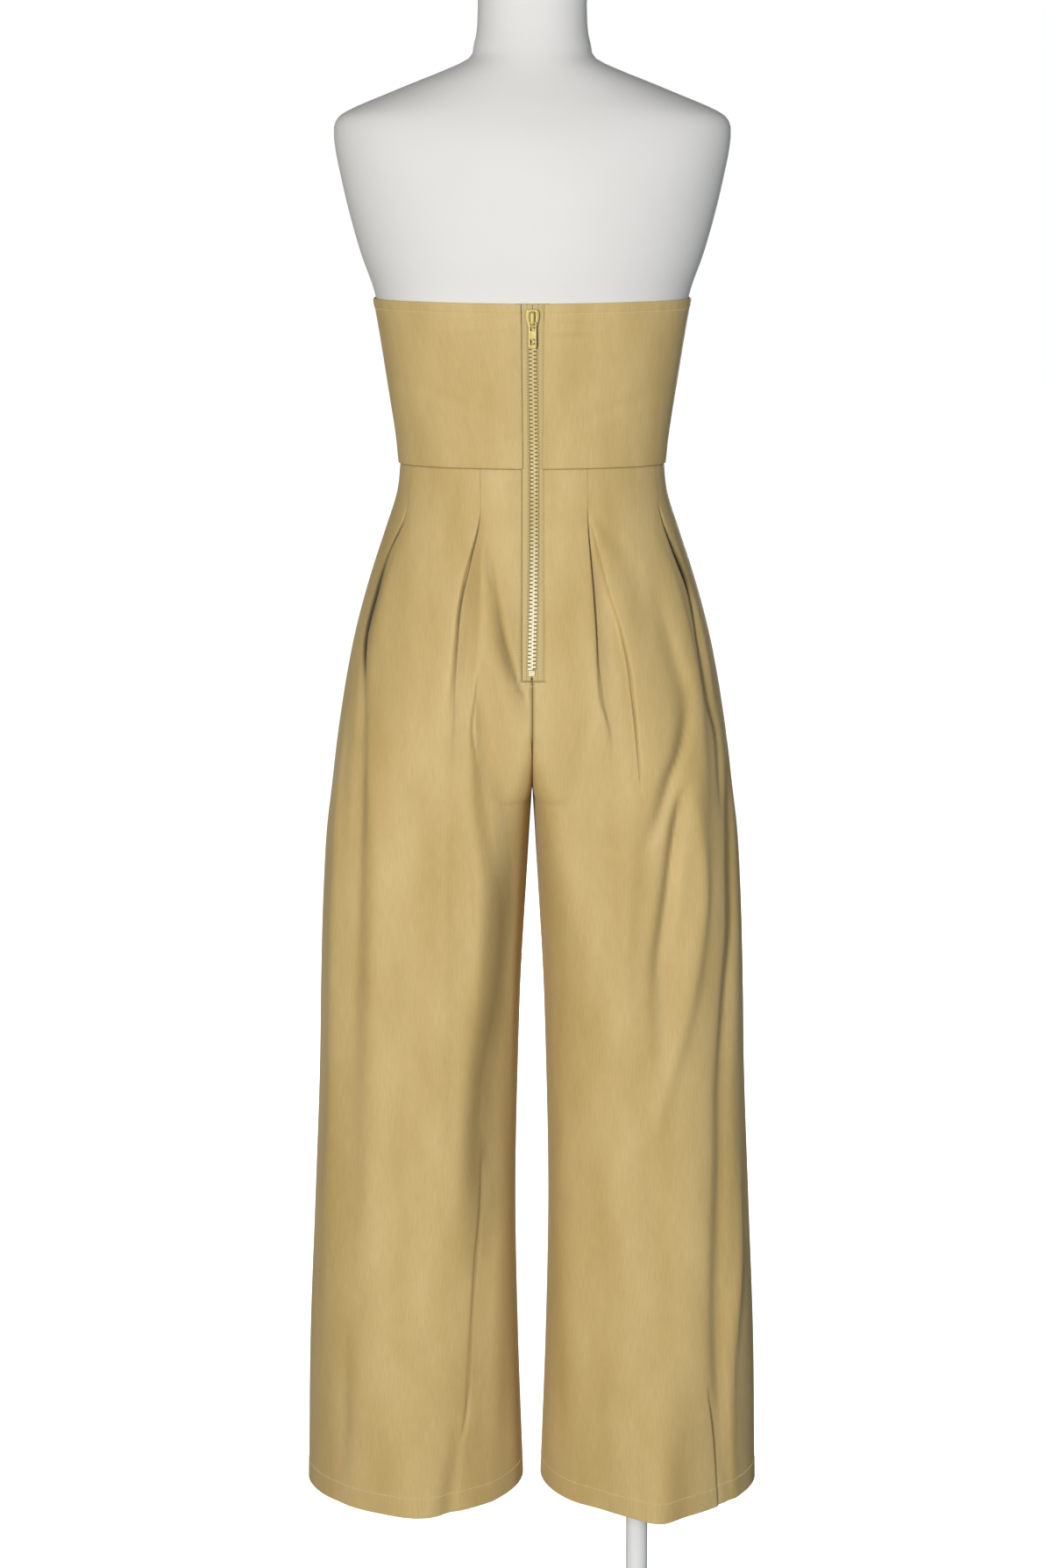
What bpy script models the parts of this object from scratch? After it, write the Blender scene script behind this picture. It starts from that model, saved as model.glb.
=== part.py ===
"""Strapless wide-leg jumpsuit on a limbless dress form that stands on a pole and a round base.

The centre back with its exposed zip faces -Y, the wearer's right is +X and the floor is z = 0.
Sizes are in millimetres, worked out around the form's upright axis, and turned to metres at the end.
"""
import math

import bmesh
import bpy
import numpy as np

MM = 0.001

# Heights of the garment's main lines above the floor
HEM = 200.0
CROTCH = 917.0
WAIST = 1237.0
TOP_SIDE = 1396.0
TOP_BACK = 1393.5
TOP_FRONT = 1402.0
ZIP_BOTTOM = 1038.0

# Cloth and seams
WALL = 1.5
SEAM = 0.3
WAIST_INSET = 1.7
WAIST_INSET_FADE = 40.0
FORM_GAP = 0.6

# Crotch curve
RISE_BEND = 100.0
RISE_POWER = 2.0
CROTCH_Y = 8.0
SEAT_BLEND = 230.0
# The seat stays flat towards the centre down to this height, over this much of it
SEAT_FLAT_FOOT = 700.0
SEAT_FLAT = 447.0
FLAT_LEAST = 0.2

# How far apart two points are that show which way the cloth runs, up and along
PROBE = 4.0
PROBE_ALONG = 0.5

# Zip
ZIP_WINDOW = 10.0
TAPE_HALF = 16.0
TAPE_MIDDLE = 8.0
TAPE_DEPTH = 2.2
TAPE_WALL = 1.0
TAPE_TAIL = 8.0
CHAIN_HALF = 3.8
CHAIN_WALL = 2.2
CHAIN_TOP = 1389.0
CHAIN_BOTTOM = 1048.0
STOP_HEIGHT = 5.0
STOP_HALF = 3.0
ZIP_LIFT = 1.9
ZIP_LIFT_FLAT = 26.0
ZIP_LIFT_END = 60.0
ZIP_LIFT_FOOT = 925.0
ZIP_LIFT_FADE = 80.0
ZIP_ROW_CLEAR = 3.0

# Slider, in its own frame: along X, up the chain, out from the chain's face
SLIDER_MIDDLE = 1380.5
SLIDER_PLATE = 1.4
SLIDER_OUTLINE = ((8.25, 5.1), (5.75, 6.3), (1.25, 6.3), (-6.25, 4.9), (-8.25, 4.3))
FLANGE_IN = 4.25
FLANGE_OUT = 4.8
FLANGE_PROFILE = ((4.75, -1.9), (4.75, 0.8), (-7.25, 0.8), (-7.25, -1.9))
CROWN_HALF_WIDTH = 1.6
CROWN_CLEAR = 2.4
CROWN_PROFILE = (
    (6.8, -0.5), (6.8, 1.8), (5.2, 3.5), (-4.8, 3.5), (-6.0, 2.4), (-6.0, -0.5),
    (-4.9, -0.5), (-4.9, 2.4), (4.6, 2.4), (5.4, 1.2), (5.4, -0.5),
)
PULL_PIVOT_UP = -3.9
PULL_HALF_WIDTH = 3.8
PULL_ARM = 1.5
PULL_THICK = 1.2
PULL_BAR = 1.3
PULL_WINDOW_END = 7.6
PULL_HOLE_TOP = 15.5
PULL_HOLE_END = 21.0
PULL_LENGTH = 24.0

# Stand
FORM_BOTTOM = 990.0
PLATE_THICK = 9.0
PLATE_SHARE = 0.93
POLE_X = 108.0
POLE_RADIUS = 11.0
COLLAR_RADIUS = 21.0
COLLAR_HEIGHT = 26.0
BASE_RADIUS = 185.0
BASE_THICK = 9.0
BASE_EDGE = 1.5
POLE_SIDES = 24
BASE_SIDES = 64

# Garment sections: height, half width, centre-back depth, centre-front depth
BODICE_COLUMNS = ("height", "half_width", "back", "front")
BODICE = (
    (1230.0, 130.7, 91.8, 96.0),
    (1237.0, 131.2, 92.0, 97.0),
    (1260.0, 133.2, 92.5, 101.0),
    (1294.0, 138.2, 95.0, 110.0),
    (1328.0, 143.4, 98.0, 120.0),
    (1350.0, 146.8, 100.0, 124.5),
    (1372.0, 150.4, 101.8, 124.5),
    (1402.0, 155.8, 103.4, 119.0),
)
TROUSER_COLUMNS = ("height", "half_width", "inner", "back", "front")
TROUSERS = (
    (1237.0, 131.0, 0.15, 92.0, 97.0),
    (1208.0, 133.0, 0.15, 97.0, 101.0),
    (1174.0, 143.5, 0.15, 106.0, 107.0),
    (1139.0, 155.2, 0.15, 114.0, 112.0),
    (1104.0, 165.8, 0.15, 120.0, 115.0),
    (1070.0, 174.6, 0.15, 125.0, 117.0),
    (1035.0, 181.8, 0.15, 128.0, 118.0),
    (1000.0, 187.8, 0.15, 129.0, 118.5),
    (965.0, 193.0, 0.15, 128.0, 118.5),
    (917.0, 198.8, 0.15, 124.5, 117.5),
    (880.0, 203.5, 2.3, 121.5, 116.0),
    (823.0, 207.5, 5.5, 118.0, 114.0),
    (715.0, 211.5, 11.5, 114.0, 111.0),
    (643.0, 213.0, 13.8, 113.0, 110.0),
    (497.0, 219.0, 16.5, 113.5, 110.5),
    (350.0, 225.5, 14.0, 116.5, 113.0),
    (200.0, 228.5, 8.8, 120.0, 116.0),
)
# Pleats: where the fold of each lies at each height, how wide half of it is and how deep it sinks
PLEAT_COLUMNS = ("height", "inner_fold", "outer_fold", "half_spread", "depth")
PLEATS = (
    (1237.0, 49.0, 115.0, 5.0, 0.0),
    (1190.0, 52.0, 123.0, 6.0, 0.4),
    (1155.0, 58.5, 136.5, 8.0, 5.5),
    (1112.0, 64.0, 150.0, 11.0, 9.0),
    (1067.0, 69.0, 160.0, 13.0, 10.0),
    (1020.0, 72.5, 166.5, 15.0, 8.5),
    (950.0, 75.0, 171.0, 18.0, 5.5),
    (880.0, 78.0, 174.0, 20.0, 4.0),
    (640.0, 88.0, 182.0, 20.0, 4.0),
    (200.0, 92.0, 194.0, 20.0, 3.0),
)
# Dress form sections: height, half width, back, front
FORM_COLUMNS = ("height", "half_width", "back", "front")
FORM_HIPS = (
    (990.0, 158.0, 98.0, 96.0),
    (1005.0, 165.5, 108.0, 104.0),
    (1030.0, 166.5, 113.5, 107.5),
    (1060.0, 163.0, 112.0, 106.5),
    (1100.0, 155.5, 105.0, 103.0),
    (1139.0, 146.0, 98.0, 99.0),
    (1174.0, 135.5, 92.5, 96.0),
    (1205.0, 127.3, 89.5, 94.0),
    (1226.0, 126.6, 88.6, 93.0),
)
FORM_CHEST = (
    (1413.0, 158.2, 102.0, 115.0),
    (1438.0, 165.8, 104.0, 109.5),
    (1476.0, 176.6, 105.0, 99.0),
    (1514.0, 185.4, 102.5, 87.0),
    (1540.0, 190.4, 97.0, 76.5),
    (1554.0, 191.6, 92.0, 69.5),
    (1565.0, 190.0, 87.0, 64.0),
    (1572.0, 184.0, 83.5, 60.5),
    (1580.0, 168.5, 79.5, 57.0),
    (1590.0, 144.0, 74.0, 54.0),
    (1602.0, 114.5, 67.5, 51.5),
    (1614.0, 84.0, 61.5, 50.0),
    (1624.0, 62.5, 57.5, 49.5),
    (1639.0, 56.2, 53.0, 50.0),
    (1676.0, 52.3, 47.0, 54.5),
    (1694.0, 51.5, 45.0, 56.0),
    (1700.0, 46.5, 40.0, 51.5),
)
# How square the sections are: 2 is an ellipse
SECTION_POWER = 2.2
INNER_LEG_POWER = 2.7
# The edges of a pleat stand out by this share of its depth
PLEAT_RIDGE = 0.12

# Bust: two soft mounds shared by the form and the bodice front
BUST_HEIGHT = 1352.0
BUST_SPREAD_UP = 42.0
BUST_X = 76.0
BUST_SPREAD_X = 36.0
BUST_SIZE = 8.0

AROUND = 44
QUARTER_WAYS = 40
SHARP_EDGE = math.radians(35)
BODICE_ROWS = (1260.0, 1283.0, 1306.0, 1328.0, 1350.0, 1370.0, 1386.0)
TROUSER_ROWS = (
    1215.0, 1190.0, 1172.0, 1150.0, 1125.0, 1098.0, 1068.0, 1038.0, 1008.0, 982.0, 960.0,
    940.0, 927.0, 920.0, 917.0, 905.0, 878.0, 830.0, 760.0, 660.0, 540.0, 400.0, 290.0,
)

# Materials: colour, roughness, metal
TWILL = ((0.53, 0.39, 0.19), 0.75, 0.0)
TAPE = ((0.50, 0.36, 0.14), 0.8, 0.0)
TEETH = ((0.62, 0.47, 0.22), 0.35, 0.0)
BRASS = ((0.58, 0.47, 0.17), 0.35, 1.0)
JERSEY = ((0.74, 0.71, 0.67), 0.85, 0.0)
BOARD = ((0.62, 0.60, 0.56), 0.6, 0.0)
PAINTED_STEEL = ((0.80, 0.80, 0.79), 0.4, 0.0)


def read(table, columns, name, height):
    """One named column at a height, on a smooth curve through the table's rows."""
    rows = np.array(sorted(table))
    h = rows[:, 0]
    v = rows[:, columns.index(name)]
    z = min(max(height, h[0]), h[-1])
    slope = np.gradient(v, h)
    i = min(int(np.searchsorted(h, z, side="right")) - 1, len(h) - 2)
    step = h[i + 1] - h[i]
    t = (z - h[i]) / step
    return float(
        v[i] * (2 * t**3 - 3 * t**2 + 1)
        + v[i + 1] * (3 * t**2 - 2 * t**3)
        + slope[i] * step * (t**3 - 2 * t**2 + t)
        + slope[i + 1] * step * (t**3 - t**2)
    )


def ease(t):
    """0 to 1 with level ends."""
    t = min(max(t, 0.0), 1.0)
    return t * t * (3 - 2 * t)


def zip_lift(x, height):
    """How far the back stands off the form over the zip tape."""
    across = 1 - ease((abs(x) - ZIP_LIFT_FLAT) / (ZIP_LIFT_END - ZIP_LIFT_FLAT))
    return ZIP_LIFT * across * ease((height - ZIP_LIFT_FOOT) / ZIP_LIFT_FADE)


def bust(x, height):
    """How far the bust mounds stand out in front."""
    up = math.exp(-(((height - BUST_HEIGHT) / BUST_SPREAD_UP) ** 2))
    return BUST_SIZE * up * math.exp(-(((abs(x) - BUST_X) / BUST_SPREAD_X) ** 2))


def torso_point(angle, height, half_width, back, front):
    """A point of a torso section; angle 0 is the centre back, 180 degrees the centre front."""
    s, c = math.sin(angle), math.cos(angle)
    x = half_width * math.copysign(abs(s) ** (2 / SECTION_POWER), s)
    depth = abs(c) ** (2 / SECTION_POWER)
    y = -back * depth if c > 0 else front * depth
    return np.array([x, y + (bust(x, height) if c < 0 else 0.0), height])


def bodice_point(angle, height, out=0.0):
    """A point of the bodice's outer face, or out millimetres off it."""
    width, back, front = (
        read(BODICE, BODICE_COLUMNS, name, height) + out for name in ("half_width", "back", "front")
    )
    p = torso_point(angle, height, width, back, front)
    if math.cos(angle) > 0:
        p[1] -= zip_lift(p[0], height) * math.cos(angle)
    return p


def top_edge(angle):
    """Height of the bodice's top edge at an angle from the centre back."""
    forward = -math.cos(angle)
    if forward < 0:
        return TOP_BACK + (TOP_SIDE - TOP_BACK) * abs(math.sin(angle))
    return TOP_SIDE + (TOP_FRONT - TOP_SIDE) * forward


def halves(points):
    """Corner numbers of the two triangles that split a four-cornered cell at its shorter diagonal."""
    a, b, c, d = points
    clearly = 1e-6
    if np.linalg.norm(a - c) < np.linalg.norm(b - d) - clearly:
        return (0, 1, 2), (0, 2, 3)
    return (0, 1, 3), (1, 2, 3)


def solid(name, outer, inner, surface, present=None, closed=False):
    """A wall between two grids of points (rows by columns), as one closed mesh."""
    outer, inner = np.array(outer, float), np.array(inner, float)
    rows, cols = outer.shape[:2]
    cells = cols if closed else cols - 1
    there = np.ones((rows - 1, cells), bool) if present is None else present
    bm = bmesh.new()
    made = {}

    def vertex(side, r, c):
        key = (side, r, c % cols)
        if key not in made:
            made[key] = bm.verts.new(((outer, inner)[side][r, c % cols] * MM).tolist())
        return made[key]

    def is_there(r, c):
        if closed:
            c %= cells
        return 0 <= r < rows - 1 and 0 <= c < cells and bool(there[r, c])

    for r in range(rows - 1):
        for c in range(cells):
            if not is_there(r, c):
                continue
            corners = ((r, c), (r, c + 1), (r + 1, c + 1), (r + 1, c))
            for half in halves([outer[i, j % cols] for i, j in corners]):
                bm.faces.new([vertex(0, *corners[k]) for k in half])
                bm.faces.new([vertex(1, *corners[k]) for k in reversed(half)])
            beside = ((r - 1, c), (r, c + 1), (r + 1, c), (r, c - 1))
            for i, (br, bc) in enumerate(beside):
                if not is_there(br, bc):
                    a, b = corners[i], corners[(i + 1) % 4]
                    bm.faces.new([vertex(0, *b), vertex(0, *a), vertex(1, *a), vertex(1, *b)])
    return finish(name, bm, surface)


def finish(name, bm, surface):
    """Turns a bmesh into a named object with its own material."""
    colour, rough, metal = surface
    bmesh.ops.recalc_face_normals(bm, faces=bm.faces)
    mesh = bpy.data.meshes.new(name)
    bm.to_mesh(mesh)
    bm.free()
    mesh.shade_smooth()
    mesh.set_sharp_from_angle(angle=SHARP_EDGE)
    material = bpy.data.materials.new(name)
    material.use_nodes = True
    shader = material.node_tree.nodes["Principled BSDF"]
    shader.inputs["Base Color"].default_value = (*colour, 1.0)
    shader.inputs["Roughness"].default_value = rough
    shader.inputs["Metallic"].default_value = metal
    mesh.materials.append(material)
    obj = bpy.data.objects.new(name, mesh)
    bpy.context.scene.collection.objects.link(obj)
    return obj


def bodice_panel(name, angles):
    """One bodice panel over a run of angles, from the waist seam to the top edge."""
    walls = []
    for out in (0.0, -WALL):
        rows = [[bodice_point(a, z, out) for a in angles] for z in (WAIST + SEAM / 2, *BODICE_ROWS)]
        rows.append([bodice_point(a, top_edge(a), out) for a in angles])
        walls.append(rows)
    solid(name, *walls, TWILL)


def bodice_angle(x, height):
    """The angle at which the bodice's back is x from the centre back."""
    width = read(BODICE, BODICE_COLUMNS, "half_width", height)
    return math.asin((x / width) ** (SECTION_POWER / 2))


def build_bodice():
    step = 2 * math.pi / AROUND
    quarter = AROUND // 4
    side_gap = SEAM / 2 / read(BODICE, BODICE_COLUMNS, "back", WAIST)
    edge = bodice_angle(ZIP_WINDOW, (WAIST + TOP_BACK) / 2)
    back = [edge, *[step * i for i in range(1, quarter)], math.pi / 2 - side_gap]
    front = [math.pi / 2 + side_gap, *[step * i for i in range(quarter + 1, 2 * quarter)]]
    bodice_panel("bodice_back_right", back)
    bodice_panel("bodice_back_left", [-a for a in reversed(back)])
    bodice_panel("bodice_front", [*front, math.pi, *[2 * math.pi - a for a in reversed(front)]])


def trouser_value(name, height):
    return read(TROUSERS, TROUSER_COLUMNS, name, height)


def half_ring(height):
    """Right half of a trouser section, from the back centre or inseam round to the front."""
    width, inner, back, front = (
        trouser_value(name, height) for name in ("half_width", "inner", "back", "front")
    )
    bend = min(max((height - CROTCH) / RISE_BEND, 0.0), 1.0)
    rise = (1 - (1 - bend) ** RISE_POWER) ** (1 / RISE_POWER)
    half = (width + inner) / 2
    middle = max(half * (1 - ease((height - CROTCH) / SEAT_BLEND)), inner) + FLAT_LEAST
    near = max(half * (1 - ease((height - SEAT_FLAT_FOOT) / SEAT_FLAT)), inner)
    power = 2 / SECTION_POWER
    inner_power = 2 / INNER_LEG_POWER
    turns = [math.pi / 2 * i / QUARTER_WAYS for i in range(QUARTER_WAYS + 1)]
    points = []
    for depth in (-back, front):
        edge_y = CROTCH_Y + (depth - CROTCH_Y) * rise
        quarter = [
            (
                near - (near - inner) * math.sin(a) ** inner_power,
                edge_y + (depth - edge_y) * math.cos(a) ** inner_power,
            )
            for a in reversed(turns)
        ]
        quarter += [
            (middle + (width - middle) * math.sin(a) ** power, depth * math.cos(a) ** power)
            for a in turns
        ]
        points += quarter if depth < 0 else quarter[-2::-1]
    return np.array(points), 2 * QUARTER_WAYS + 1


def ring_reader(height):
    """Arc lengths along a half ring, its points, and the arc length at the side seam."""
    points, side = half_ring(height)
    long = np.concatenate([[0.0], np.cumsum(np.linalg.norm(np.diff(points, axis=0), axis=1))])
    return points, long, long[side], side


def arc_where(points, long, lo, hi, x):
    """Arc length of the point between two indices whose distance from the centre is x."""
    part = slice(lo, hi + 1)
    xs = points[part, 0]
    if xs[0] < xs[-1]:
        return float(np.interp(x, np.maximum.accumulate(xs), long[part]))
    return float(np.interp(x, np.maximum.accumulate(xs[::-1]), long[part][::-1]))


def spaced(start, end, count):
    """count values strictly between start and end."""
    return [start + (end - start) * (i + 1) / (count + 1) for i in range(count)]


def panel_arcs(height, front):
    """Arc lengths of a panel's columns at a height, with how deep the pleats sink each."""
    points, long, side_arc, side = ring_reader(height)
    total = long[-1]
    lo, hi = (side, len(points) - 1) if front else (0, side)
    fold_1, fold_2, spread, depth = (
        read(PLEATS, PLEAT_COLUMNS, name, height)
        for name in ("inner_fold", "outer_fold", "half_spread", "depth")
    )
    arc_1, arc_2 = (arc_where(points, long, lo, hi, x) for x in (fold_1, fold_2))
    centre = total - SEAM / 2 if front else SEAM / 2
    seam = side_arc + (SEAM / 2 if front else -SEAM / 2)
    turn = -1 if front else 1
    first = centre + turn * ZIP_WINDOW
    inner = [arc_1 - turn * spread, arc_1, arc_1 + turn * spread]
    outer = [arc_2 - turn * spread, arc_2, arc_2 + turn * spread]
    before = [centre, first, *spaced(first, inner[0], 2)]
    between = spaced(inner[2], outer[0], 3)
    after = [*spaced(outer[2], seam, 2), seam]
    pleat = [-PLEAT_RIDGE * depth, depth, -PLEAT_RIDGE * depth]
    sink = [0.0] * len(before) + pleat + [0.0] * len(between) + pleat + [0.0] * len(after)
    return np.array(before + inner + between + outer + after), np.array(sink)


def on_ring(height, arcs):
    points, long, _, _ = ring_reader(height)
    x = np.interp(arcs, long, points[:, 0])
    y = np.interp(arcs, long, points[:, 1])
    return np.column_stack([x, y, np.full(len(arcs), height)])


def panel_rows(front, heights):
    """Outer points, outward directions and pleat depths of one right-hand trouser panel."""
    outer, normals, sinks = [], [], []
    for height in heights:
        arcs, sink = panel_arcs(height, front)
        here = on_ring(height, arcs)
        along = on_ring(height, arcs + PROBE_ALONG) - on_ring(height, arcs - PROBE_ALONG)
        top, low = min(height + PROBE, WAIST), max(height - PROBE, HEM)
        up = on_ring(top, panel_arcs(top, front)[0]) - on_ring(low, panel_arcs(low, front)[0])
        normal = np.cross(along, up)
        normal /= np.linalg.norm(normal, axis=1)[:, None]
        outer.append(here)
        normals.append(normal)
        sinks.append(sink)
    return np.array(outer), np.array(normals), np.array(sinks)


def lifted(points, normals):
    """Moves back points out over the zip tape, and draws the sides in under the waist seam."""
    moved = points.copy()
    for r in range(len(points)):
        for c in range(points.shape[1]):
            x, y, z = points[r, c]
            width = trouser_value("half_width", z)
            if y < 0:
                moved[r, c, 1] -= zip_lift(x, z) * -y / trouser_value("back", z)
            near_waist = ease((z - WAIST) / WAIST_INSET_FADE + 1)
            moved[r, c] -= normals[r, c] * WAIST_INSET * near_waist * (x / width) ** 4
    return moved


def mirrored(points):
    return points[:, ::-1] * np.array([-1.0, 1.0, 1.0])


def build_trousers():
    heights = [WAIST - SEAM / 2, *TROUSER_ROWS, HEM]
    for front in (False, True):
        points, normals, sinks = panel_rows(front, heights)
        points = lifted(points, normals)
        outer = points - normals * sinks[..., None]
        inner = outer - normals * WALL
        for points in (outer, inner):
            points[..., 0] = np.maximum(points[..., 0], SEAM / 2)
        present = np.ones((len(heights) - 1, outer.shape[1] - 1), bool)
        if not front:
            above = np.array(heights[1:]) >= ZIP_BOTTOM
            present[above, 0] = False
        where = "front" if front else "back"
        left = present[:, ::-1]
        solid(f"trouser_{where}_right", outer, inner, TWILL, present)
        solid(f"trouser_{where}_left", mirrored(outer), mirrored(inner), TWILL, left)


def back_point(x, height):
    """A point of the garment's outer face near the centre back, and its outward direction."""

    def at(z):
        if z > WAIST:
            return bodice_point(math.copysign(bodice_angle(abs(x), z), x), z)
        points, long, _, side = ring_reader(z)
        arc = arc_where(points, long, 0, side, abs(x))
        p = on_ring(z, [arc])[0]
        p[0] = x
        p[1] -= zip_lift(x, z)
        return p

    here = at(height)
    up = at(height + PROBE) - at(height - PROBE)
    slope = up[1] / up[2]
    out = np.array([0.0, -1.0, slope])
    return here, out / np.linalg.norm(out)


def zip_rows(top, bottom):
    low, high = bottom + ZIP_ROW_CLEAR, top - ZIP_ROW_CLEAR
    rows = [z for z in (*BODICE_ROWS, WAIST, *TROUSER_ROWS) if low < z < high]
    return sorted([top, *rows, bottom], reverse=True)


def zip_strip(name, xs, top, bottom, face, thick, surface):
    """A strip down the centre back whose face lies face millimetres out of the cloth's."""
    outer, inner = [], []
    for z in zip_rows(top, bottom):
        points = [back_point(x, z) for x in xs]
        outer.append([p + n * face for p, n in points])
        inner.append([p + n * (face - thick) for p, n in points])
    return solid(name, outer, inner, surface)


def build_zip():
    right = (SEAM / 2, TAPE_MIDDLE, TAPE_HALF)
    tape = (TOP_BACK, ZIP_BOTTOM - TAPE_TAIL, -TAPE_DEPTH, TAPE_WALL, TAPE)
    zip_strip("zip_tape_right", right, *tape)
    zip_strip("zip_tape_left", [-x for x in reversed(right)], *tape)
    face = CHAIN_WALL + SEAM - TAPE_DEPTH
    chain = (-CHAIN_HALF, 0.0, CHAIN_HALF)
    zip_strip("zip_chain", chain, CHAIN_TOP, CHAIN_BOTTOM, face, CHAIN_WALL, TEETH)
    top = CHAIN_BOTTOM - SEAM
    zip_strip("zip_stop", (-STOP_HALF, STOP_HALF), top, top - STOP_HEIGHT, face, CHAIN_WALL, BRASS)
    build_slider(face)


def prism(name, outline, x_low, x_high, frame):
    """An outline of (up, out) points drawn across from x_low to x_high, in the slider's frame."""
    bm = bmesh.new()
    ends = []
    for x in (x_low, x_high):
        ends.append([bm.verts.new((frame(x, up, out) * MM).tolist()) for up, out in outline])
    bm.faces.new(ends[0])
    bm.faces.new(ends[1][::-1])
    for i in range(len(outline)):
        j = (i + 1) % len(outline)
        bm.faces.new([ends[0][i], ends[0][j], ends[1][j], ends[1][i]])
    return finish(name, bm, BRASS)


def build_slider(chain_face):
    """The slider body with its crown, and the pull tab that hangs from it."""
    point, out_way = back_point(0.0, SLIDER_MIDDLE)
    origin = point + out_way * chain_face
    up_way = np.array([0.0, out_way[2], -out_way[1]])

    def frame(x, up, out):
        return origin + np.array([x, 0.0, 0.0]) + up_way * up + out_way * out

    plate_top = SEAM + SLIDER_PLATE
    face, rear = [], []
    for up, wing in SLIDER_OUTLINE:
        across = (-wing, -FLANGE_IN, FLANGE_IN, wing)
        face.append([frame(x, up, plate_top) for x in across])
        rear.append([frame(x, up, SEAM) for x in across])
    body = solid("zip_slider", face, rear, BRASS)
    crown = [(up, out + plate_top) for up, out in CROWN_PROFILE]
    joined = (
        prism("flange_left", FLANGE_PROFILE, -FLANGE_OUT, -FLANGE_IN, frame),
        prism("flange_right", FLANGE_PROFILE, FLANGE_IN, FLANGE_OUT, frame),
        prism("crown", crown, -CROWN_HALF_WIDTH, CROWN_HALF_WIDTH, frame),
    )
    for part in joined:
        part.hide_render = True
        part.display_type = "WIRE"
        join = body.modifiers.new(part.name, "BOOLEAN")
        join.operation = "UNION"
        join.object = part
    build_pull(frame(0.0, PULL_PIVOT_UP, plate_top + CROWN_CLEAR / 2))


def build_pull(pivot):
    """The pull tab, hanging plumb from the crown, with its origin on the pivot."""
    xs = (-PULL_HALF_WIDTH, PULL_ARM - PULL_HALF_WIDTH, PULL_HALF_WIDTH - PULL_ARM, PULL_HALF_WIDTH)
    downs = (-PULL_BAR / 2, PULL_BAR / 2, PULL_WINDOW_END, PULL_HOLE_TOP, PULL_HOLE_END, PULL_LENGTH)
    front = [[np.array([x, -PULL_THICK / 2, -down]) for x in xs] for down in downs]
    rear = [[np.array([x, PULL_THICK / 2, -down]) for x in xs] for down in downs]
    present = np.ones((len(downs) - 1, len(xs) - 1), bool)
    present[1, 1] = present[3, 1] = False
    pull = solid("zip_pull", front, rear, BRASS, present)
    pull.location = (pivot * MM).tolist()


def form_ring(height, section, out=0.0):
    """One ring of the dress form."""
    width, back, front = section
    return [
        torso_point(2 * math.pi * i / AROUND, height, width + out, back + out, front + out)
        for i in range(AROUND)
    ]


def loft(name, rings, surface):
    """A closed body through rings of equal count, with flat ends."""
    bm = bmesh.new()
    rows = [[bm.verts.new((p * MM).tolist()) for p in ring] for ring in rings]
    count = len(rows[0])
    for r in range(len(rows) - 1):
        for i in range(count):
            corners = ((r, i), (r, (i + 1) % count), (r + 1, (i + 1) % count), (r + 1, i))
            for half in halves([rings[a][b] for a, b in corners]):
                bm.faces.new([rows[corners[k][0]][corners[k][1]] for k in half])
    bm.faces.new(rows[0][::-1])
    bm.faces.new(rows[-1])
    return finish(name, bm, surface)


def build_form():
    rings = [form_ring(row[0], row[1:]) for row in FORM_HIPS]
    for z in (WAIST, *BODICE_ROWS, TOP_SIDE, TOP_FRONT):
        section = [read(BODICE, BODICE_COLUMNS, name, z) for name in ("half_width", "back", "front")]
        inset = WALL + FORM_GAP + (WAIST_INSET + SEAM if z == WAIST else 0.0)
        rings.append(form_ring(z, section, -inset))
    rings += [form_ring(row[0], row[1:]) for row in FORM_CHEST]
    loft("form_torso", rings, JERSEY)
    plate_top = FORM_BOTTOM - SEAM
    section = [value * PLATE_SHARE for value in FORM_HIPS[0][1:]]
    plate = [form_ring(z, section) for z in (plate_top - PLATE_THICK, plate_top)]
    loft("form_bottom_plate", plate, BOARD)


def circle(x, radius, height, sides):
    turn = 2 * math.pi / sides
    return [
        np.array([x + radius * math.cos(turn * i), radius * math.sin(turn * i), height])
        for i in range(sides)
    ]


def build_stand():
    base = ((BASE_RADIUS, 0.0), (BASE_RADIUS, BASE_THICK - BASE_EDGE), (BASE_RADIUS - BASE_EDGE, BASE_THICK))
    loft("stand_base", [circle(0.0, r, z, BASE_SIDES) for r, z in base], PAINTED_STEEL)
    low = BASE_THICK + SEAM
    top = FORM_BOTTOM - PLATE_THICK - 2 * SEAM
    loft("stand_pole", [circle(POLE_X, POLE_RADIUS, z, POLE_SIDES) for z in (low, top)], PAINTED_STEEL)
    build_collar("stand_foot_collar", low, low + COLLAR_HEIGHT)
    build_collar("stand_top_collar", top - COLLAR_HEIGHT, top)


def build_collar(name, low, high):
    """A sleeve round the pole."""
    outer = [circle(POLE_X, COLLAR_RADIUS, z, POLE_SIDES) for z in (low, high)]
    inner = [circle(POLE_X, POLE_RADIUS + SEAM, z, POLE_SIDES) for z in (low, high)]
    solid(name, outer, inner, PAINTED_STEEL, closed=True)


def main():
    for obj in list(bpy.data.objects):
        bpy.data.objects.remove(obj)
    build_bodice()
    build_trousers()
    build_zip()
    build_form()
    build_stand()


main()
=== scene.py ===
"""The looks of a strapless wide-leg jumpsuit on a limbless dress form.

Lengths are in millimetres until a mesh is made, and everything stands upright on the floor at z = 0. The
centre back with its exposed zip faces -Y. A place across a panel is given by how far it lies from the
centre line, and a panel's points run down in rows and outwards in columns.
"""

import math

import bpy
import numpy as np
from mathutils import Matrix, Vector
from mathutils.bvhtree import BVHTree


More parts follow.
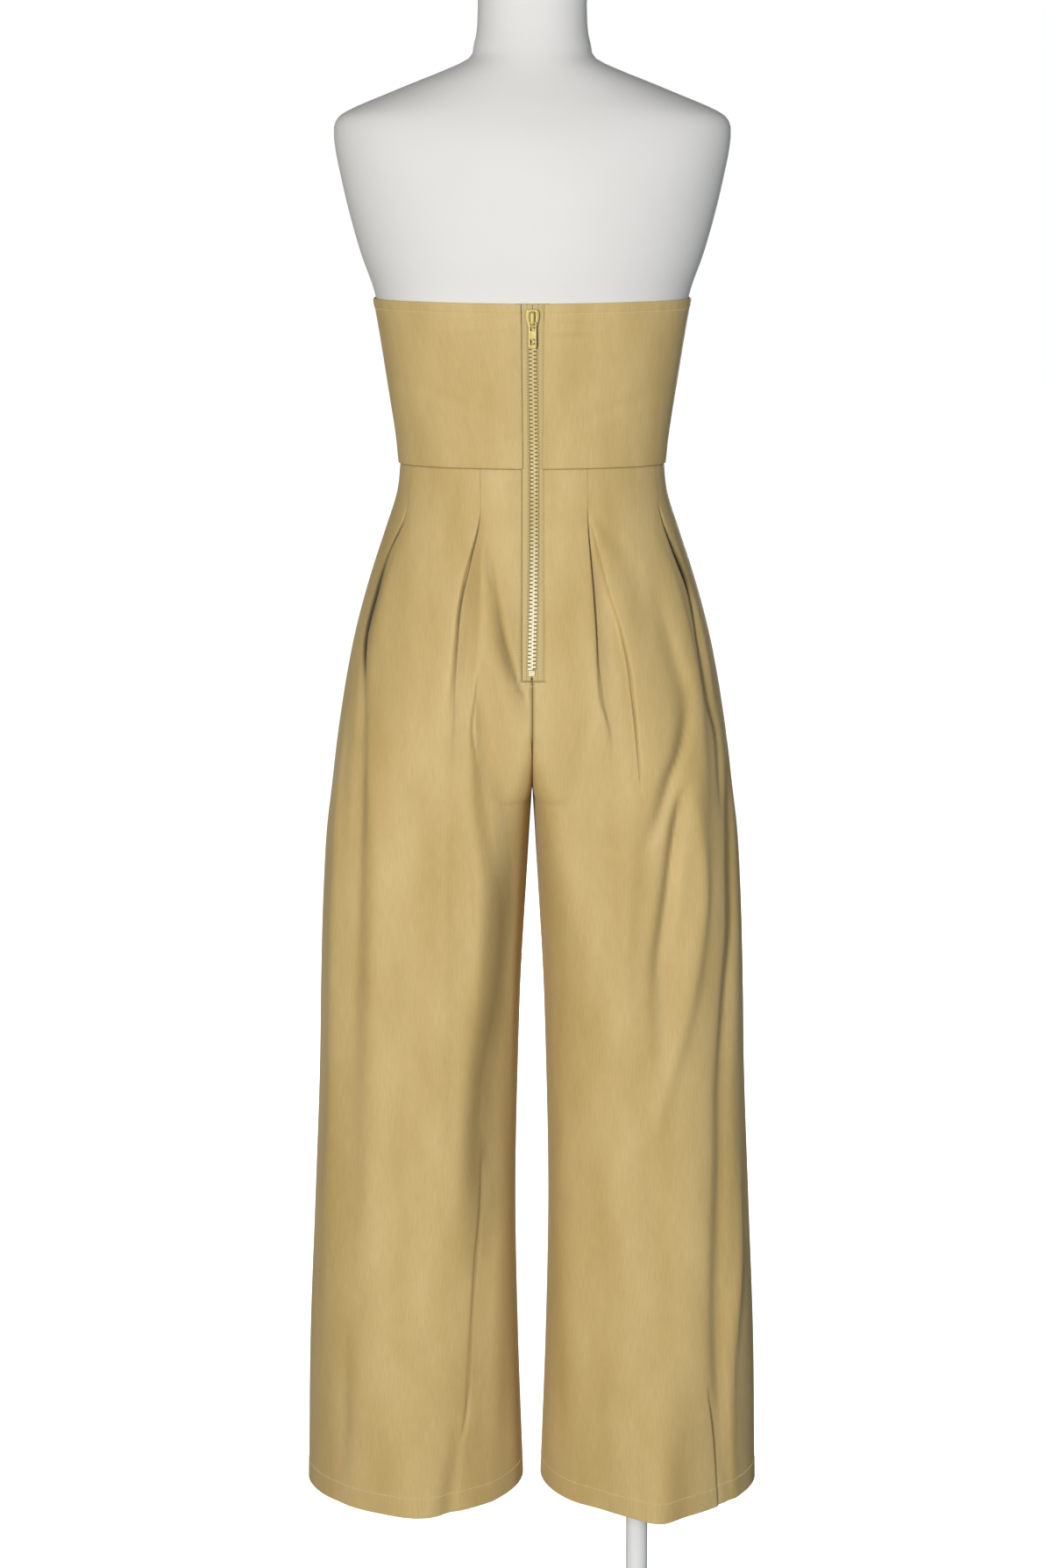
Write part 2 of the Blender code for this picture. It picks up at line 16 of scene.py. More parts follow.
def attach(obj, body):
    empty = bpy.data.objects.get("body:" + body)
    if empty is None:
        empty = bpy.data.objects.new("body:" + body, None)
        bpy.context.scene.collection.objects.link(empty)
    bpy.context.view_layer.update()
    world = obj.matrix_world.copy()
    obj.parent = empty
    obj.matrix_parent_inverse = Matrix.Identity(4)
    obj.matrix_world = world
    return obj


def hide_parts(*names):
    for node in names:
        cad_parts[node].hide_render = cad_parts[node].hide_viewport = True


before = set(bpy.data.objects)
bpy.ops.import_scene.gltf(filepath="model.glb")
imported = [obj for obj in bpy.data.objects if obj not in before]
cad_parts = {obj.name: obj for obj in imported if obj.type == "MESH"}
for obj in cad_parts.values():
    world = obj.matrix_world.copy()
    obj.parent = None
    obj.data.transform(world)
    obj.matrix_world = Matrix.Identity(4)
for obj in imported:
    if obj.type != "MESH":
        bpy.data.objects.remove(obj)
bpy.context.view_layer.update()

MM = 0.001

# Heights of the garment's main lines
HEM = 200.0
CROTCH = 917.0
WAIST = 1237.0
TOP_SIDE = 1396.0
TOP_BACK = 1393.5
TOP_FRONT = 1402.0
ZIP_BOTTOM = 1038.0

# Cloth: its thickness, the gap at a seam, how far the trousers' side is drawn in under the waist seam and
# over what height, the hem's turn-up, and the stitching's distance below the top edge
CLOTH = 0.9
SEAM = 0.08
WAIST_INSET = 1.7
WAIST_INSET_FADE = 40.0
WAIST_INSET_POWER = 4
HEM_DEPTH = 20.0
TOP_STITCH = 9.5

# Crotch curve: the seat and the front bend in to the seam over RISE_BEND above the crotch. SEAT_FLAT_FOOT
# and SEAT_FLAT say from which height up, and over what height, the section's back grows flat
RISE_BEND = 75.0
RISE_POWER = 2.0
CROTCH_Y = 8.0
SEAT_BLEND = 230.0
SEAT_FLAT_FOOT = 620.0
SEAT_FLAT = 447.0
FLAT_LEAST = 0.2
RING_STEPS = 61

# Zip: half the window, the tape, the chain, how far the cloth stands off over it, and the slider. PROBE is
# the reach up and down over which the cloth's slope is measured
ZIP_WINDOW = 10.0
TAPE_HALF = 16.0
TAPE_DEPTH = 2.2
TAPE_TAIL = 8.0
CHAIN_TOP = 1374.0
CHAIN_BOTTOM = 1049.5
TOOTH_PITCH = 3.7
ZIP_LIFT = 1.9
ZIP_LIFT_FLAT = 26.0
ZIP_LIFT_END = 60.0
ZIP_LIFT_FOOT = 925.0
ZIP_LIFT_FADE = 80.0
SLIDER_MIDDLE = 1380.5
SLIDER_PROUD = 0.3
PROBE = 4.0
TAPE_TOP = 1394.0
TAPE_THICK = 0.8
TAPE_ROWS = 150
# Across one tape: distances from its inner edge's line, and how far the weave stands up there
TAPE_PLACES = (0.15, 0.8, 1.6, 2.6, 3.9, 4.5, 4.9, 5.3, 5.7, 6.1, 6.5, 7.2, 8.6, 10.2, 12.0, 14.0, 16.0)
TAPE_RELIEF = ((0.0, 0.0), (4.5, 0.0), (4.9, 0.16), (5.7, 0.16), (6.1, 0.0), (16.0, 0.0))
# How far the chain wanders off the centre: height, distance
ZIP_DRIFT = ((1030, -0.6), (1048, -0.6), (1100, 0.6), (1180, 1.8), (1250, 1.6), (1330, 0.4), (1396, 0))
# A tooth: its root's width, thickness and height, that root's middle, then how far each of its next parts
# reaches on, with that part's height and thickness as shares of the last one's
TOOTH = (2.3, 2.3, 2.35)
TOOTH_ROOT = -2.75
TOOTH_PARTS = ((0.8, 0.58, 0.85), (0.9, 1.28, 1.1), (0.9, 0.75, 0.8))
# Teeth and stop reach this far off the tape
GRIP = 0.05
# The stop: width, thickness and height, its middle's place, and its pressed field
STOP = (6.0, 2.3, 5.0)
STOP_HEIGHT = 1045.2
STOP_FIELD_HALF = 1.2
STOP_FIELD_SLOPE = 0.5
STOP_FIELD_DEPTH = 0.4
# Painted shade on the tape: a dark square for the shadowed gap between the cords below the stop, and how
# dark the shade painted behind the teeth is
GAP_SHADE_HEIGHT = 1040.4
GAP_SHADE_HALF = 1.3
GAP_SHADE_POWER = 4
TEETH_HALF = 4.0
SHADE_BEHIND_TEETH = 0.6
# The slider's plate, and its outline: height, half width
PLATE_LOW = 0.3
PLATE_THICK = 1.4
SLIDER_OUTLINE = ((8.25, 5.1), (5.75, 6.3), (1.25, 6.3), (-6.25, 4.9), (-8.25, 4.3))
# The well under the crown, between the outline's upper and lower rows
WELL_HALF = 2.9
WELL_SLOPE = 0.3
WELL_DEPTH = 0.8
# A flange beside the teeth: size, middle, and how far its foot narrows
FLANGE = (0.55, 2.7, 12.0)
FLANGE_MIDDLE = (4.55, 0.55, -1.25)
FLANGE_TAPER = 0.8
# The crown strap: its foot's size, how far that lies out of the plate's face and how high up, and its bends
# as step out, step up and turn in degrees
CROWN = (3.2, 1.7, 1.4)
CROWN_OUT = 0.35
CROWN_FOOT = 6.1
CROWN_STEPS = (
    (0.9, -0.3, 35.0), (0.7, -0.8, 55.0), (0.0, -9.9, 0.0), (-0.7, -0.7, 50.0), (-0.9, -0.2, 40.0),
    (-2.1, 0.0, 0.0),
)
# The pull tab: where it hangs, half its width, its arms beside the window, its bar, and the hole's ends
PULL_PIVOT = (0.0, -107.203, 1376.428)
PULL_HALF = 3.8
PULL_ARM = 1.5
PULL_THICK = 1.2
PULL_BAR = 1.3
PULL_WINDOW = 7.6
PULL_HOLE = (15.5, 21.0)
PULL_LENGTH = 24.0
PULL_CORNER = 2.4
# How close a point lies to a place that it is picked by
NEAR = 0.01

# Stitching: the thread's radius and how far it stands out at the start, middle and end of a stitch, then
# the pitch of the stitches and the length of one
THREAD_SHARES = (0.0, 0.5, 1.0)
THREAD_RADII = (0.2, 0.34, 0.2)
THREAD_LIFT = (-0.05, 0.2, -0.05)
WINDOW_STITCH = (2.9, 2.1)
TOP_EDGE_STITCH = (3.0, 2.2)
HEM_STITCH = (3.3, 2.4)
WINDOW_STITCH_LEFT = -14.5
WINDOW_STITCH_RIGHT = 16.4
WINDOW_STITCH_TOP = TOP_BACK - 4.0
WINDOW_STITCH_END = 1032.5
# The rays that find the cloth: where they start and how many they are. The top edge's start out at a share
# of the bodice's section, and beyond the window's edge by a share of its angle
RAYS_BACK = -300.0
RAYS_DOWN = 160
RAYS_ACROSS = 40
RAYS_TOP = 500
RAYS_TOP_OUT = 1.5
RAYS_TOP_START = 1.02
RAYS_LEG = 361
RAYS_LEG_OUT = 400.0
LEG_MIDDLE = 118.0
LEG_RADIUS = 105.0

# Section tables: height, half width, (inner leg edge,) back and front depth
BODICE = (
    (1230, 130.7, 91.8, 96),
    (1237, 131.2, 92, 97),
    (1260, 133.2, 92.5, 101),
    (1294, 138.2, 95, 110),
    (1328, 143.4, 98, 120),
    (1350, 146.8, 100, 124.5),
    (1372, 150.4, 101.8, 124.5),
    (1402, 155.8, 103.4, 119),
)
TROUSERS = (
    (1237, 131, 0.15, 92, 97),
    (1208, 133, 0.15, 97, 101),
    (1174, 143.5, 0.15, 106, 107),
    (1139, 155.2, 0.15, 114, 112),
    (1104, 165.8, 0.15, 120, 115),
    (1070, 174.6, 0.15, 125, 117),
    (1035, 181.8, 0.15, 128, 118),
    (1000, 187.8, 0.15, 129, 118.5),
    (965, 193, 0.15, 128, 118.5),
    (917, 198.8, 0.15, 124.5, 117.5),
    (880, 203.5, 2.3, 121.5, 116),
    (823, 207.5, 5.5, 118, 114),
    (715, 211.5, 11.5, 114, 111),
    (643, 213, 13.8, 113, 110),
    (497, 219, 16.5, 113.5, 110.5),
    (350, 225.5, 14, 116.5, 113),
    (200, 228.5, 8.8, 120, 116),
)
FORM = (
    (990, 158, 98, 96),
    (1005, 165.5, 108, 104),
    (1030, 166.5, 113.5, 107.5),
    (1060, 163, 112, 106.5),
    (1100, 155.5, 105, 103),
    (1139, 146, 98, 99),
    (1174, 135.5, 92.5, 96),
    (1205, 127.3, 89.5, 94),
    (1226, 126.4, 88.4, 92.8),
    (1237, 127, 88.2, 93.2),
    (1260, 130.6, 89.9, 98.4),
    (1294, 135.6, 92.4, 107.4),
    (1328, 140.8, 95.4, 117.4),
    (1350, 144.2, 97.4, 121.9),
    (1372, 147.8, 99.2, 121.9),
    (1402, 153.2, 100.8, 116.4),
    (1438, 165.8, 104, 109.5),
    (1476, 176.6, 105, 99),
    (1514, 185.4, 102.5, 87),
    (1540, 190.4, 97, 76.5),
    (1554, 191.6, 92, 69.5),
    (1565, 190, 87, 64),
    (1572, 184, 83.5, 60.5),
    (1580, 168.5, 79.5, 57),
    (1590, 144, 74, 54),
    (1602, 114.5, 67.5, 51.5),
    (1614, 84, 61.5, 50),
    (1624, 62.5, 57.5, 49.5),
    (1639, 56.2, 53, 50),
    (1676, 52.3, 47, 54.5),
    (1694, 51.5, 45, 56),
    (1700, 46.5, 40, 51.5),
)
# The form's mesh: columns, the rows' step, and more rows at its tight curves
FORM_COLUMNS = 144
FORM_STEP = 5.0
FORM_MORE_ROWS = (1565, 1568, 1572, 1576, 1697, 1699)
# How square the sections are: 2 is an ellipse
SECTION_POWER = 2.2
INNER_LEG_POWER = 2.7
# From this height down the seams draw the section in to a flatter lens
HEM_EDGE = 460.0
HEM_POWER = 1.8
HEM_INNER_POWER = 1.9
# The bust: where it is, how far it spreads and how far it stands out
BUST_HEIGHT = 1352.0
BUST_SPREAD_UP = 42.0
BUST_X = 76.0
BUST_SPREAD_X = 36.0
BUST_SIZE = 8.0

# Lines that the cloth's columns follow, so that the sharp folds come out sharp: height, distances
LEFT_LINES = (
    (1237, 28, 50, 118),
    (1190, 30, 50.6, 122.4),
    (1151, 36, 60.2, 139.7),
    (1111, 41, 69.6, 150.9),
    (1068, 46, 73.3, 161.1),
    (1028, 52, 75, 162.8),
    (992, 53, 75.5, 164),
    (954, 50.5, 78, 166),
    (917, 46, 82, 168),
    (842, 33.5, 88, 171),
    (739, 33.5, 92, 176),
    (633, 52, 98, 182),
    (506, 51.5, 104, 186),
    (410, 58, 110, 190),
    (300, 65, 116, 194),
    (200, 78, 124, 197),
)
RIGHT_LINES = (
    (1237, 52.5, 84, 120),
    (1190, 53.4, 62, 124.2),
    (1158, 55.9, 65.6, 135.6),
    (1119, 59.3, 73.6, 149.8),
    (1084, 61.8, 84.4, 156.5),
    (1051, 63.6, 92, 162.5),
    (1015, 68, 96.6, 170.3),
    (982, 74.5, 99.8, 179.8),
    (939, 78, 103.2, 183),
    (880, 80, 106, 184),
    (760, 78, 112, 184),
    (624, 78, 118, 176),
    (400, 80, 126, 173.5),
    (310, 80, 130, 177.5),
    (200, 80, 134, 187),
)
# Columns close beside such a line, and how many of their reaches the space between two lines has to hold
NEAR_LINE = (0.35, 0.8, 1.5, 2.5, 3.8, 5.3)
NEAR_ROOM = 2.6
# Columns inside the window's edge, then even ones between that edge, the three lines and the side seam
WINDOW_COLUMNS = 3
BACK_STEPS = (11, 12, 22, 16)
FRONT_STEPS = (8, 10, 16, 11)
# The closest and the widest rows of back and front, and how deep the front's folds are
BACK_ROW_STEPS = (2.2, 3.2)
FRONT_ROW_STEPS = (3.2, 4.6)
FRONT_FOLD_SHARE = 0.85

# Folds of the cloth: height, distance, width towards the centre, width towards the side, how far out
LEFT_FOLDS = {
    "inner pleat": (
        (1236.9, 50, 1.6, 0.5, -0.3), (1196, 50.4, 2.4, 0.6, -0.5), (1186, 51.2, 5, 0.6, -1.8),
        (1162, 57.3, 9, 0.6, -4.5), (1134, 64.8, 14, 0.7, -6.5), (1109, 69.7, 17, 0.8, -6.8),
        (1068, 73.3, 18, 1.2, -5.8), (1028, 75, 18, 3, -3.6), (992, 75.5, 16, 8, -1.8),
        (940, 79, 16, 12, 0),
    ),
    "inner pleat roll": (
        (1190, 54, 3, 9, 0), (1134, 69, 4, 14, 1.4), (1068, 78.5, 5, 18, 1.8), (992, 82, 7, 20, 1.6),
        (917, 86, 12, 20, 0),
    ),
    "inner pleat ridge": (
        (1186, 48.6, 6, 3, 0), (1142, 48.4, 9, 4, 1.6), (1085, 50.6, 9, 5, 1.8), (1040, 54.4, 8, 6, 1.6),
        (1000, 60, 6, 7, 0),
    ),
    "thigh fold": (
        (1050, 51, 2, 2, 0), (1028, 53.2, 9, 1.1, -2.8), (992, 56.6, 13, 2.2, -4.6),
        (954, 50.5, 15, 5, -5), (917, 45, 16, 9, -5), (879, 37, 15, 12, -5), (842, 31, 16, 14, -5.5),
        (770, 28, 16, 18, -6), (696, 33, 18, 18, -6.5), (633, 44, 20, 18, -6), (560, 48, 18, 14, -4),
        (480, 50, 16, 12, 0),
    ),
    "thigh ridge": (
        (1010, 64, 8, 12, 0), (954, 63, 9, 18, 2.2), (880, 54, 10, 20, 3), (800, 50, 12, 22, 3.2),
        (700, 58, 12, 22, 3), (600, 72, 13, 20, 2.4), (500, 80, 14, 22, 1.6), (380, 90, 16, 24, 0),
    ),
    "seat drag": (
        (1176, 48, 4, 5, 0), (1158, 44, 4, 6, -1.6), (1114, 35.6, 3, 8, -3.4), (1070, 26.4, 2.4, 10, -4.4),
        (1036, 14.5, 2.6, 10, -4), (1014, 9, 3, 8, -2.4), (985, 6, 3, 8, 0),
    ),
    "seat drag ridge": (
        (1160, 36, 5, 4, 0), (1110, 28, 8, 5, 1), (1070, 19, 8, 5, 1.4), (1030, 9, 6, 4, 1),
        (1005, 6, 4, 4, 0),
    ),
    "seat crease": (
        (1064, 45, 4, 4, 0), (1036, 40, 4, 5, -1.4), (992, 30, 4, 6, -1.8), (950, 22, 5, 7, -1),
        (915, 18, 5, 7, 0),
    ),
    "outer pleat": (
        (1236.9, 118, 0.7, 1.6, -0.3), (1198, 121.2, 0.7, 2, -0.5), (1186, 124, 0.7, 2.4, -2),
        (1151, 139.7, 0.7, 2.8, -5), (1111, 150.9, 0.7, 3.2, -7.5), (1068, 161.1, 0.8, 3.4, -7.5),
        (1036, 162.8, 1.6, 4.5, -5.5), (992, 164, 4, 8, -5), (917, 168, 9, 10, -3.6),
        (780, 173, 14, 14, -3), (640, 178, 16, 16, -2.4), (480, 180, 18, 18, -1.2), (380, 182, 18, 18, 0),
    ),
    "outer pleat roll": (
        (1186, 118, 12, 4, 0), (1130, 139, 14, 5, 1.6), (1068, 154, 16, 5, 2), (992, 156, 16, 6, 1.6),
        (900, 156, 16, 10, 1.2), (700, 156, 18, 14, 1.6), (500, 160, 20, 16, 0.8), (380, 160, 20, 16, 0),
    ),
    "side ridge": (
        (1020, 180, 8, 12, 0), (950, 186, 9, 12, 1.8), (800, 194, 10, 14, 2.4), (640, 198, 12, 14, 2),
        (460, 204, 14, 14, 1.2), (330, 206, 14, 14, 0),
    ),
    "thigh trough": (
        (1010, 104, 16, 14, 0), (900, 112, 18, 16, -1.8), (740, 116, 18, 18, -2.4),
        (560, 120, 20, 18, -1.6), (380, 122, 20, 20, 0),
    ),
    "thigh line": (
        (960, 86, 8, 14, 0), (880, 84, 8, 14, 1.8), (740, 86, 9, 16, 2.4), (560, 94, 10, 16, 1.6),
        (420, 98, 10, 16, 0),
    ),
    "knee crease": (
        (880, 62, 4, 6, 0), (840, 61, 3.5, 7, -1.8), (790, 59, 3.5, 7, -1.8), (740, 60, 4, 8, 0),
    ),
    "calf crease": (
        (600, 44, 3, 3, 0), (557, 48, 5, 2, -2.2), (506, 50.5, 6, 2, -2.6), (462, 55, 7, 1.8, -2.6),
        (410, 58, 7, 2, -2.2), (340, 62.5, 6, 2.4, -1.2), (300, 65, 5, 2, -2), (270, 70, 5, 2.4, 0),
    ),
    "calf trough": (
        (600, 38, 10, 12, 0), (500, 40, 11, 12, -4), (400, 46, 11, 12, -4.6), (300, 50, 12, 12, -3.2),
        (230, 56, 12, 12, -1.5), (200, 58, 12, 12, -1),
    ),
    "calf ridge": (
        (470, 18, 6, 9, 0), (390, 24, 7, 9, 1.8), (300, 30, 8, 9, 2.4), (200, 38, 8, 10, 1.6),
    ),
    "hem crease": (
        (330, 25, 3, 4, 0), (279, 27.6, 3, 4, -1.6), (241, 29.5, 3, 4, -1.6), (210, 31, 3, 4, 0),
    ),
    "hem wave": (
        (330, 74, 8, 8, 0), (260, 75, 9, 8, -1.8), (200, 82, 12, 10, -3),
    ),
    "hem roll": (
        (360, 118, 22, 22, 0), (260, 112, 24, 24, 2.4), (200, 112, 26, 26, 3.4),
    ),
    "hem side": (
        (420, 186, 10, 12, 0), (320, 188, 10, 14, -1.8), (200, 196, 14, 16, -0.8),
    ),
}
RIGHT_FOLDS = {
    "inner pleat": (
        (1236.9, 52.5, 0.5, 1.6, -0.3), (1196, 53.2, 0.6, 2.4, -0.5), (1186, 53.6, 0.6, 3, -1.8),
        (1158, 55.9, 0.6, 8, -5), (1119, 59.3, 0.7, 12, -6.5), (1084, 61.8, 0.9, 17, -6.4),
        (1051, 63.6, 1.3, 20, -5), (1015, 68, 2.2, 20, -3.2), (995, 75, 3, 16, -2), (965, 80, 6, 14, 0),
    ),
    "inner pleat roll": (
        (1186, 50, 9, 3, 0), (1119, 54.4, 14, 3.5, 1.4), (1051, 58, 16, 4, 1.6), (995, 66, 16, 6, 1),
        (950, 70, 16, 8, 0),
    ),
    "inner pleat ridge": (
        (1192, 55, 1.5, 6, 0), (1176, 59.4, 1.6, 10, 1.8), (1150, 66.4, 1.8, 14, 2.8),
        (1119, 74.6, 2, 18, 3.2), (1084, 86.6, 2.4, 20, 3), (1046, 95.6, 2.6, 18, 2.6),
        (993, 102, 3, 16, 1.8), (940, 107, 4, 14, 0),
    ),
    "inner pleat tail": (
        (1112, 75.4, 5, 0.8, 0), (1084, 84, 7, 0.8, -1.6), (1065, 88.6, 8, 0.8, -2.6),
        (1046, 92.8, 8, 0.8, -3), (993, 98.7, 8, 0.9, -2.6), (958, 102.2, 7, 1.2, -1.6),
        (925, 104, 5, 2, 0),
    ),
    "outer pleat": (
        (1236.9, 120, 0.7, 1.6, -0.3), (1198, 122.6, 0.7, 2, -0.5), (1186, 125.6, 0.7, 2.6, -2.4),
        (1154, 136.8, 0.7, 3.2, -6.5), (1114, 151.6, 0.8, 3.6, -7.5), (1066, 160.4, 1.6, 6, -6.5),
        (1015, 170.3, 4, 8, -6), (982, 179.8, 7, 7, -4), (930, 184, 8, 8, -1.5), (890, 186, 8, 8, 0),
    ),
    "outer pleat strip": (
        (1180, 134, 3, 3, 0), (1143, 146, 4, 5, 1.2), (1105, 157.5, 4, 6, 1.6), (1044, 171, 4, 6, 1.6),
        (1000, 178, 4, 6, 0),
    ),
    "outer pleat roll": (
        (1180, 118, 12, 4, 0), (1130, 137, 16, 5, 1.6), (1066, 153, 16, 6, 2.4), (1015, 161, 14, 8, 3),
        (960, 164, 14, 10, 2.6), (900, 166, 16, 12, 1.6), (840, 168, 16, 12, 0),
    ),
    "hip trough": (
        (1150, 114, 10, 8, 0), (1110, 122, 12, 9, -1.8), (1057, 139, 14, 7, -3.4),
        (1016, 149, 14, 6, -4.4), (972, 146, 11, 6, -5.2), (938, 133, 9, 6, -5), (905, 122.5, 8, 6, -3.6),
        (870, 112, 8, 6, 0),
    ),
    "low trough": (
        (935, 146, 6, 5, 0), (907, 142.5, 8, 5, -4), (865, 136.5, 8, 6, -5), (827, 131.5, 8, 7, -5),
        (799, 127.5, 8, 8, -4.6), (761, 122.5, 9, 10, -4), (720, 120.5, 9, 12, -3),
        (662, 124, 9, 12, -1.6), (620, 126, 9, 12, 0),
    ),
    "hip crease": (
        (1190, 66, 8, 8, 0), (1160, 88, 9, 9, -0.8), (1120, 104, 9, 9, -1), (1070, 112, 8, 8, 0),
    ),
    "centre drag": (
        (1090, 26, 8, 8, 0), (1040, 36, 9, 9, 1), (980, 44, 9, 9, 0.8), (930, 46, 8, 8, 0),
    ),
    "seat drag": (
        (1030, 62, 6, 6, 0), (985, 50, 6, 9, -1.2), (940, 42, 6, 10, -1.6), (890, 36, 6, 10, -1),
        (850, 33, 6, 10, 0),
    ),
    "thigh ridge": (
        (960, 92, 22, 12, 0), (880, 96, 24, 11, 2.2), (780, 90, 26, 11, 2.8), (660, 92, 24, 14, 2.6),
        (500, 96, 24, 18, 2.2), (360, 98, 24, 22, 1.6), (240, 100, 24, 22, 0),
    ),
    "slanting ridge": (
        (960, 152, 8, 12, 0), (916, 155, 9, 12, 2.4), (828, 166, 12, 8, 3.4), (756, 159, 14, 9, 3.2),
        (700, 148, 12, 10, 2.6), (634, 130, 9, 10, 2.2), (560, 118, 9, 10, 0),
    ),
    "side hollow": (
        (980, 192, 8, 10, 0), (924, 193, 9, 10, -3), (853, 196, 11, 10, -4.4), (782, 198, 12, 10, -4.6),
        (711, 194, 13, 11, -4.6), (624, 190, 13, 12, -4.4), (565, 190, 12, 12, -4.6),
        (476, 189, 12, 12, -5), (386, 188, 12, 12, -4.8), (310, 190, 10, 9, -3.4), (247, 195, 9, 8, -2.4),
        (200, 199, 9, 8, -1.2),
    ),
    "side crease": (
        (330, 176, 3, 5, 0), (296, 180, 1.6, 7, -2.4), (247, 185, 1.8, 7, -2.6), (200, 189, 3, 6, -1.6),
    ),
    "side ridge": (
        (560, 206, 6, 6, 0), (440, 206, 7, 7, 2.6), (320, 198, 6, 7, 2.2), (247, 200, 5, 6, 1.6),
        (200, 204, 5, 6, 0.8),
    ),
    "knee drag": (
        (830, 40, 6, 6, 0), (797, 48, 6, 7, 1), (760, 60, 6, 8, 1.2), (720, 72, 6, 8, 0),
    ),
    "calf trough": (
        (640, 48, 18, 18, 0), (500, 54, 20, 20, -2.2), (360, 54, 20, 22, -2), (250, 50, 18, 20, 0),
    ),
    "hem roll": (
        (380, 128, 26, 24, 0), (280, 126, 24, 22, 4), (200, 125, 22, 20, 7),
    ),
    "hem hollow": (
        (330, 60, 20, 24, 0), (250, 62, 22, 24, -2), (200, 64, 24, 26, -3.4),
    ),
}
# Where the cloth lies in the dark of a fold: number of the line that it follows, or None for the centre
# line, then rows of height, distance from it, width towards the centre, width towards the side, how dark
LEFT_SHADES = (
    (None, (
        (960, 40, 10, 4, 0), (917, 33, 12, 8, 0.22), (842, 27, 13, 15, 0.5), (740, 32, 17, 16, 0.46),
        (640, 48, 32, 12, 0.4), (580, 56, 42, 12, 0.38), (506, 56, 42, 12, 0.26), (430, 64, 12, 8, 0),
    )),
    (0, (
        (1172, 13, 2, 3, 0), (1158, 9.6, 2, 4, 0.12), (1114, -5, 2, 5, 0.28), (1070, -19.4, 2.2, 7, 0.5),
        (1050, -28.4, 2.2, 7, 0.5), (1032, -38.4, 2.2, 7, 0.36), (1012, -44, 2.4, 6, 0.16),
        (985, -48, 2.4, 6, 0),
    )),
    (0, (
        (1034, 0.4, 2, 1, 0), (1015, 0.4, 4, 1, 0.2), (975, 0, 6, 1.6, 0.24), (917, -1, 8, 3, 0.18),
        (842, -3, 9, 5, 0.12), (740, -4, 10, 8, 0.12), (640, -6, 10, 8, 0),
    )),
    (1, (
        (1236.9, 0, 0.4, 0.4, 0.3), (1198, 0, 0.4, 0.4, 0.34), (1186, 0, 0.8, 0.5, 0.6),
        (1134, -0.2, 1.1, 0.5, 0.8), (1068, -0.2, 1.1, 0.6, 0.7), (1028, -0.2, 1.3, 0.9, 0.4),
        (980, 0, 2.5, 2, 0.15), (940, 0, 3, 3, 0),
    )),
    (1, (
        (1190, -1, 3, 0.7, 0), (1134, -1, 9, 0.7, 0.2), (1068, -1, 12, 1, 0.2), (1000, -1, 10, 3, 0.12),
        (950, 0, 10, 8, 0),
    )),
    (2, (
        (1236.9, 0, 0.4, 0.4, 0.25), (1202, 0.2, 0.4, 0.4, 0.3), (1190, 0.8, 1, 1, 0.7),
        (1151, 1.8, 4, 2.2, 1), (1111, 3.4, 6.6, 3.6, 1), (1080, 3.6, 6.6, 3.6, 1),
        (1050, 2.8, 5.2, 3.2, 1), (1020, 2, 3.4, 3.4, 0.5), (960, 2, 3, 4, 0.22), (860, 2, 4, 6, 0),
    )),
    (0, (
        (600, 0, 0.6, 0.6, 0), (557, 0, 1.4, 0.7, 0.16), (462, 0, 1.8, 0.7, 0.28),
        (410, 0, 1.6, 0.7, 0.12), (340, 0, 1.6, 0.8, 0.2), (300, 0, 1.6, 0.8, 0.12), (270, 0, 0.9, 0.6, 0),
    )),
)
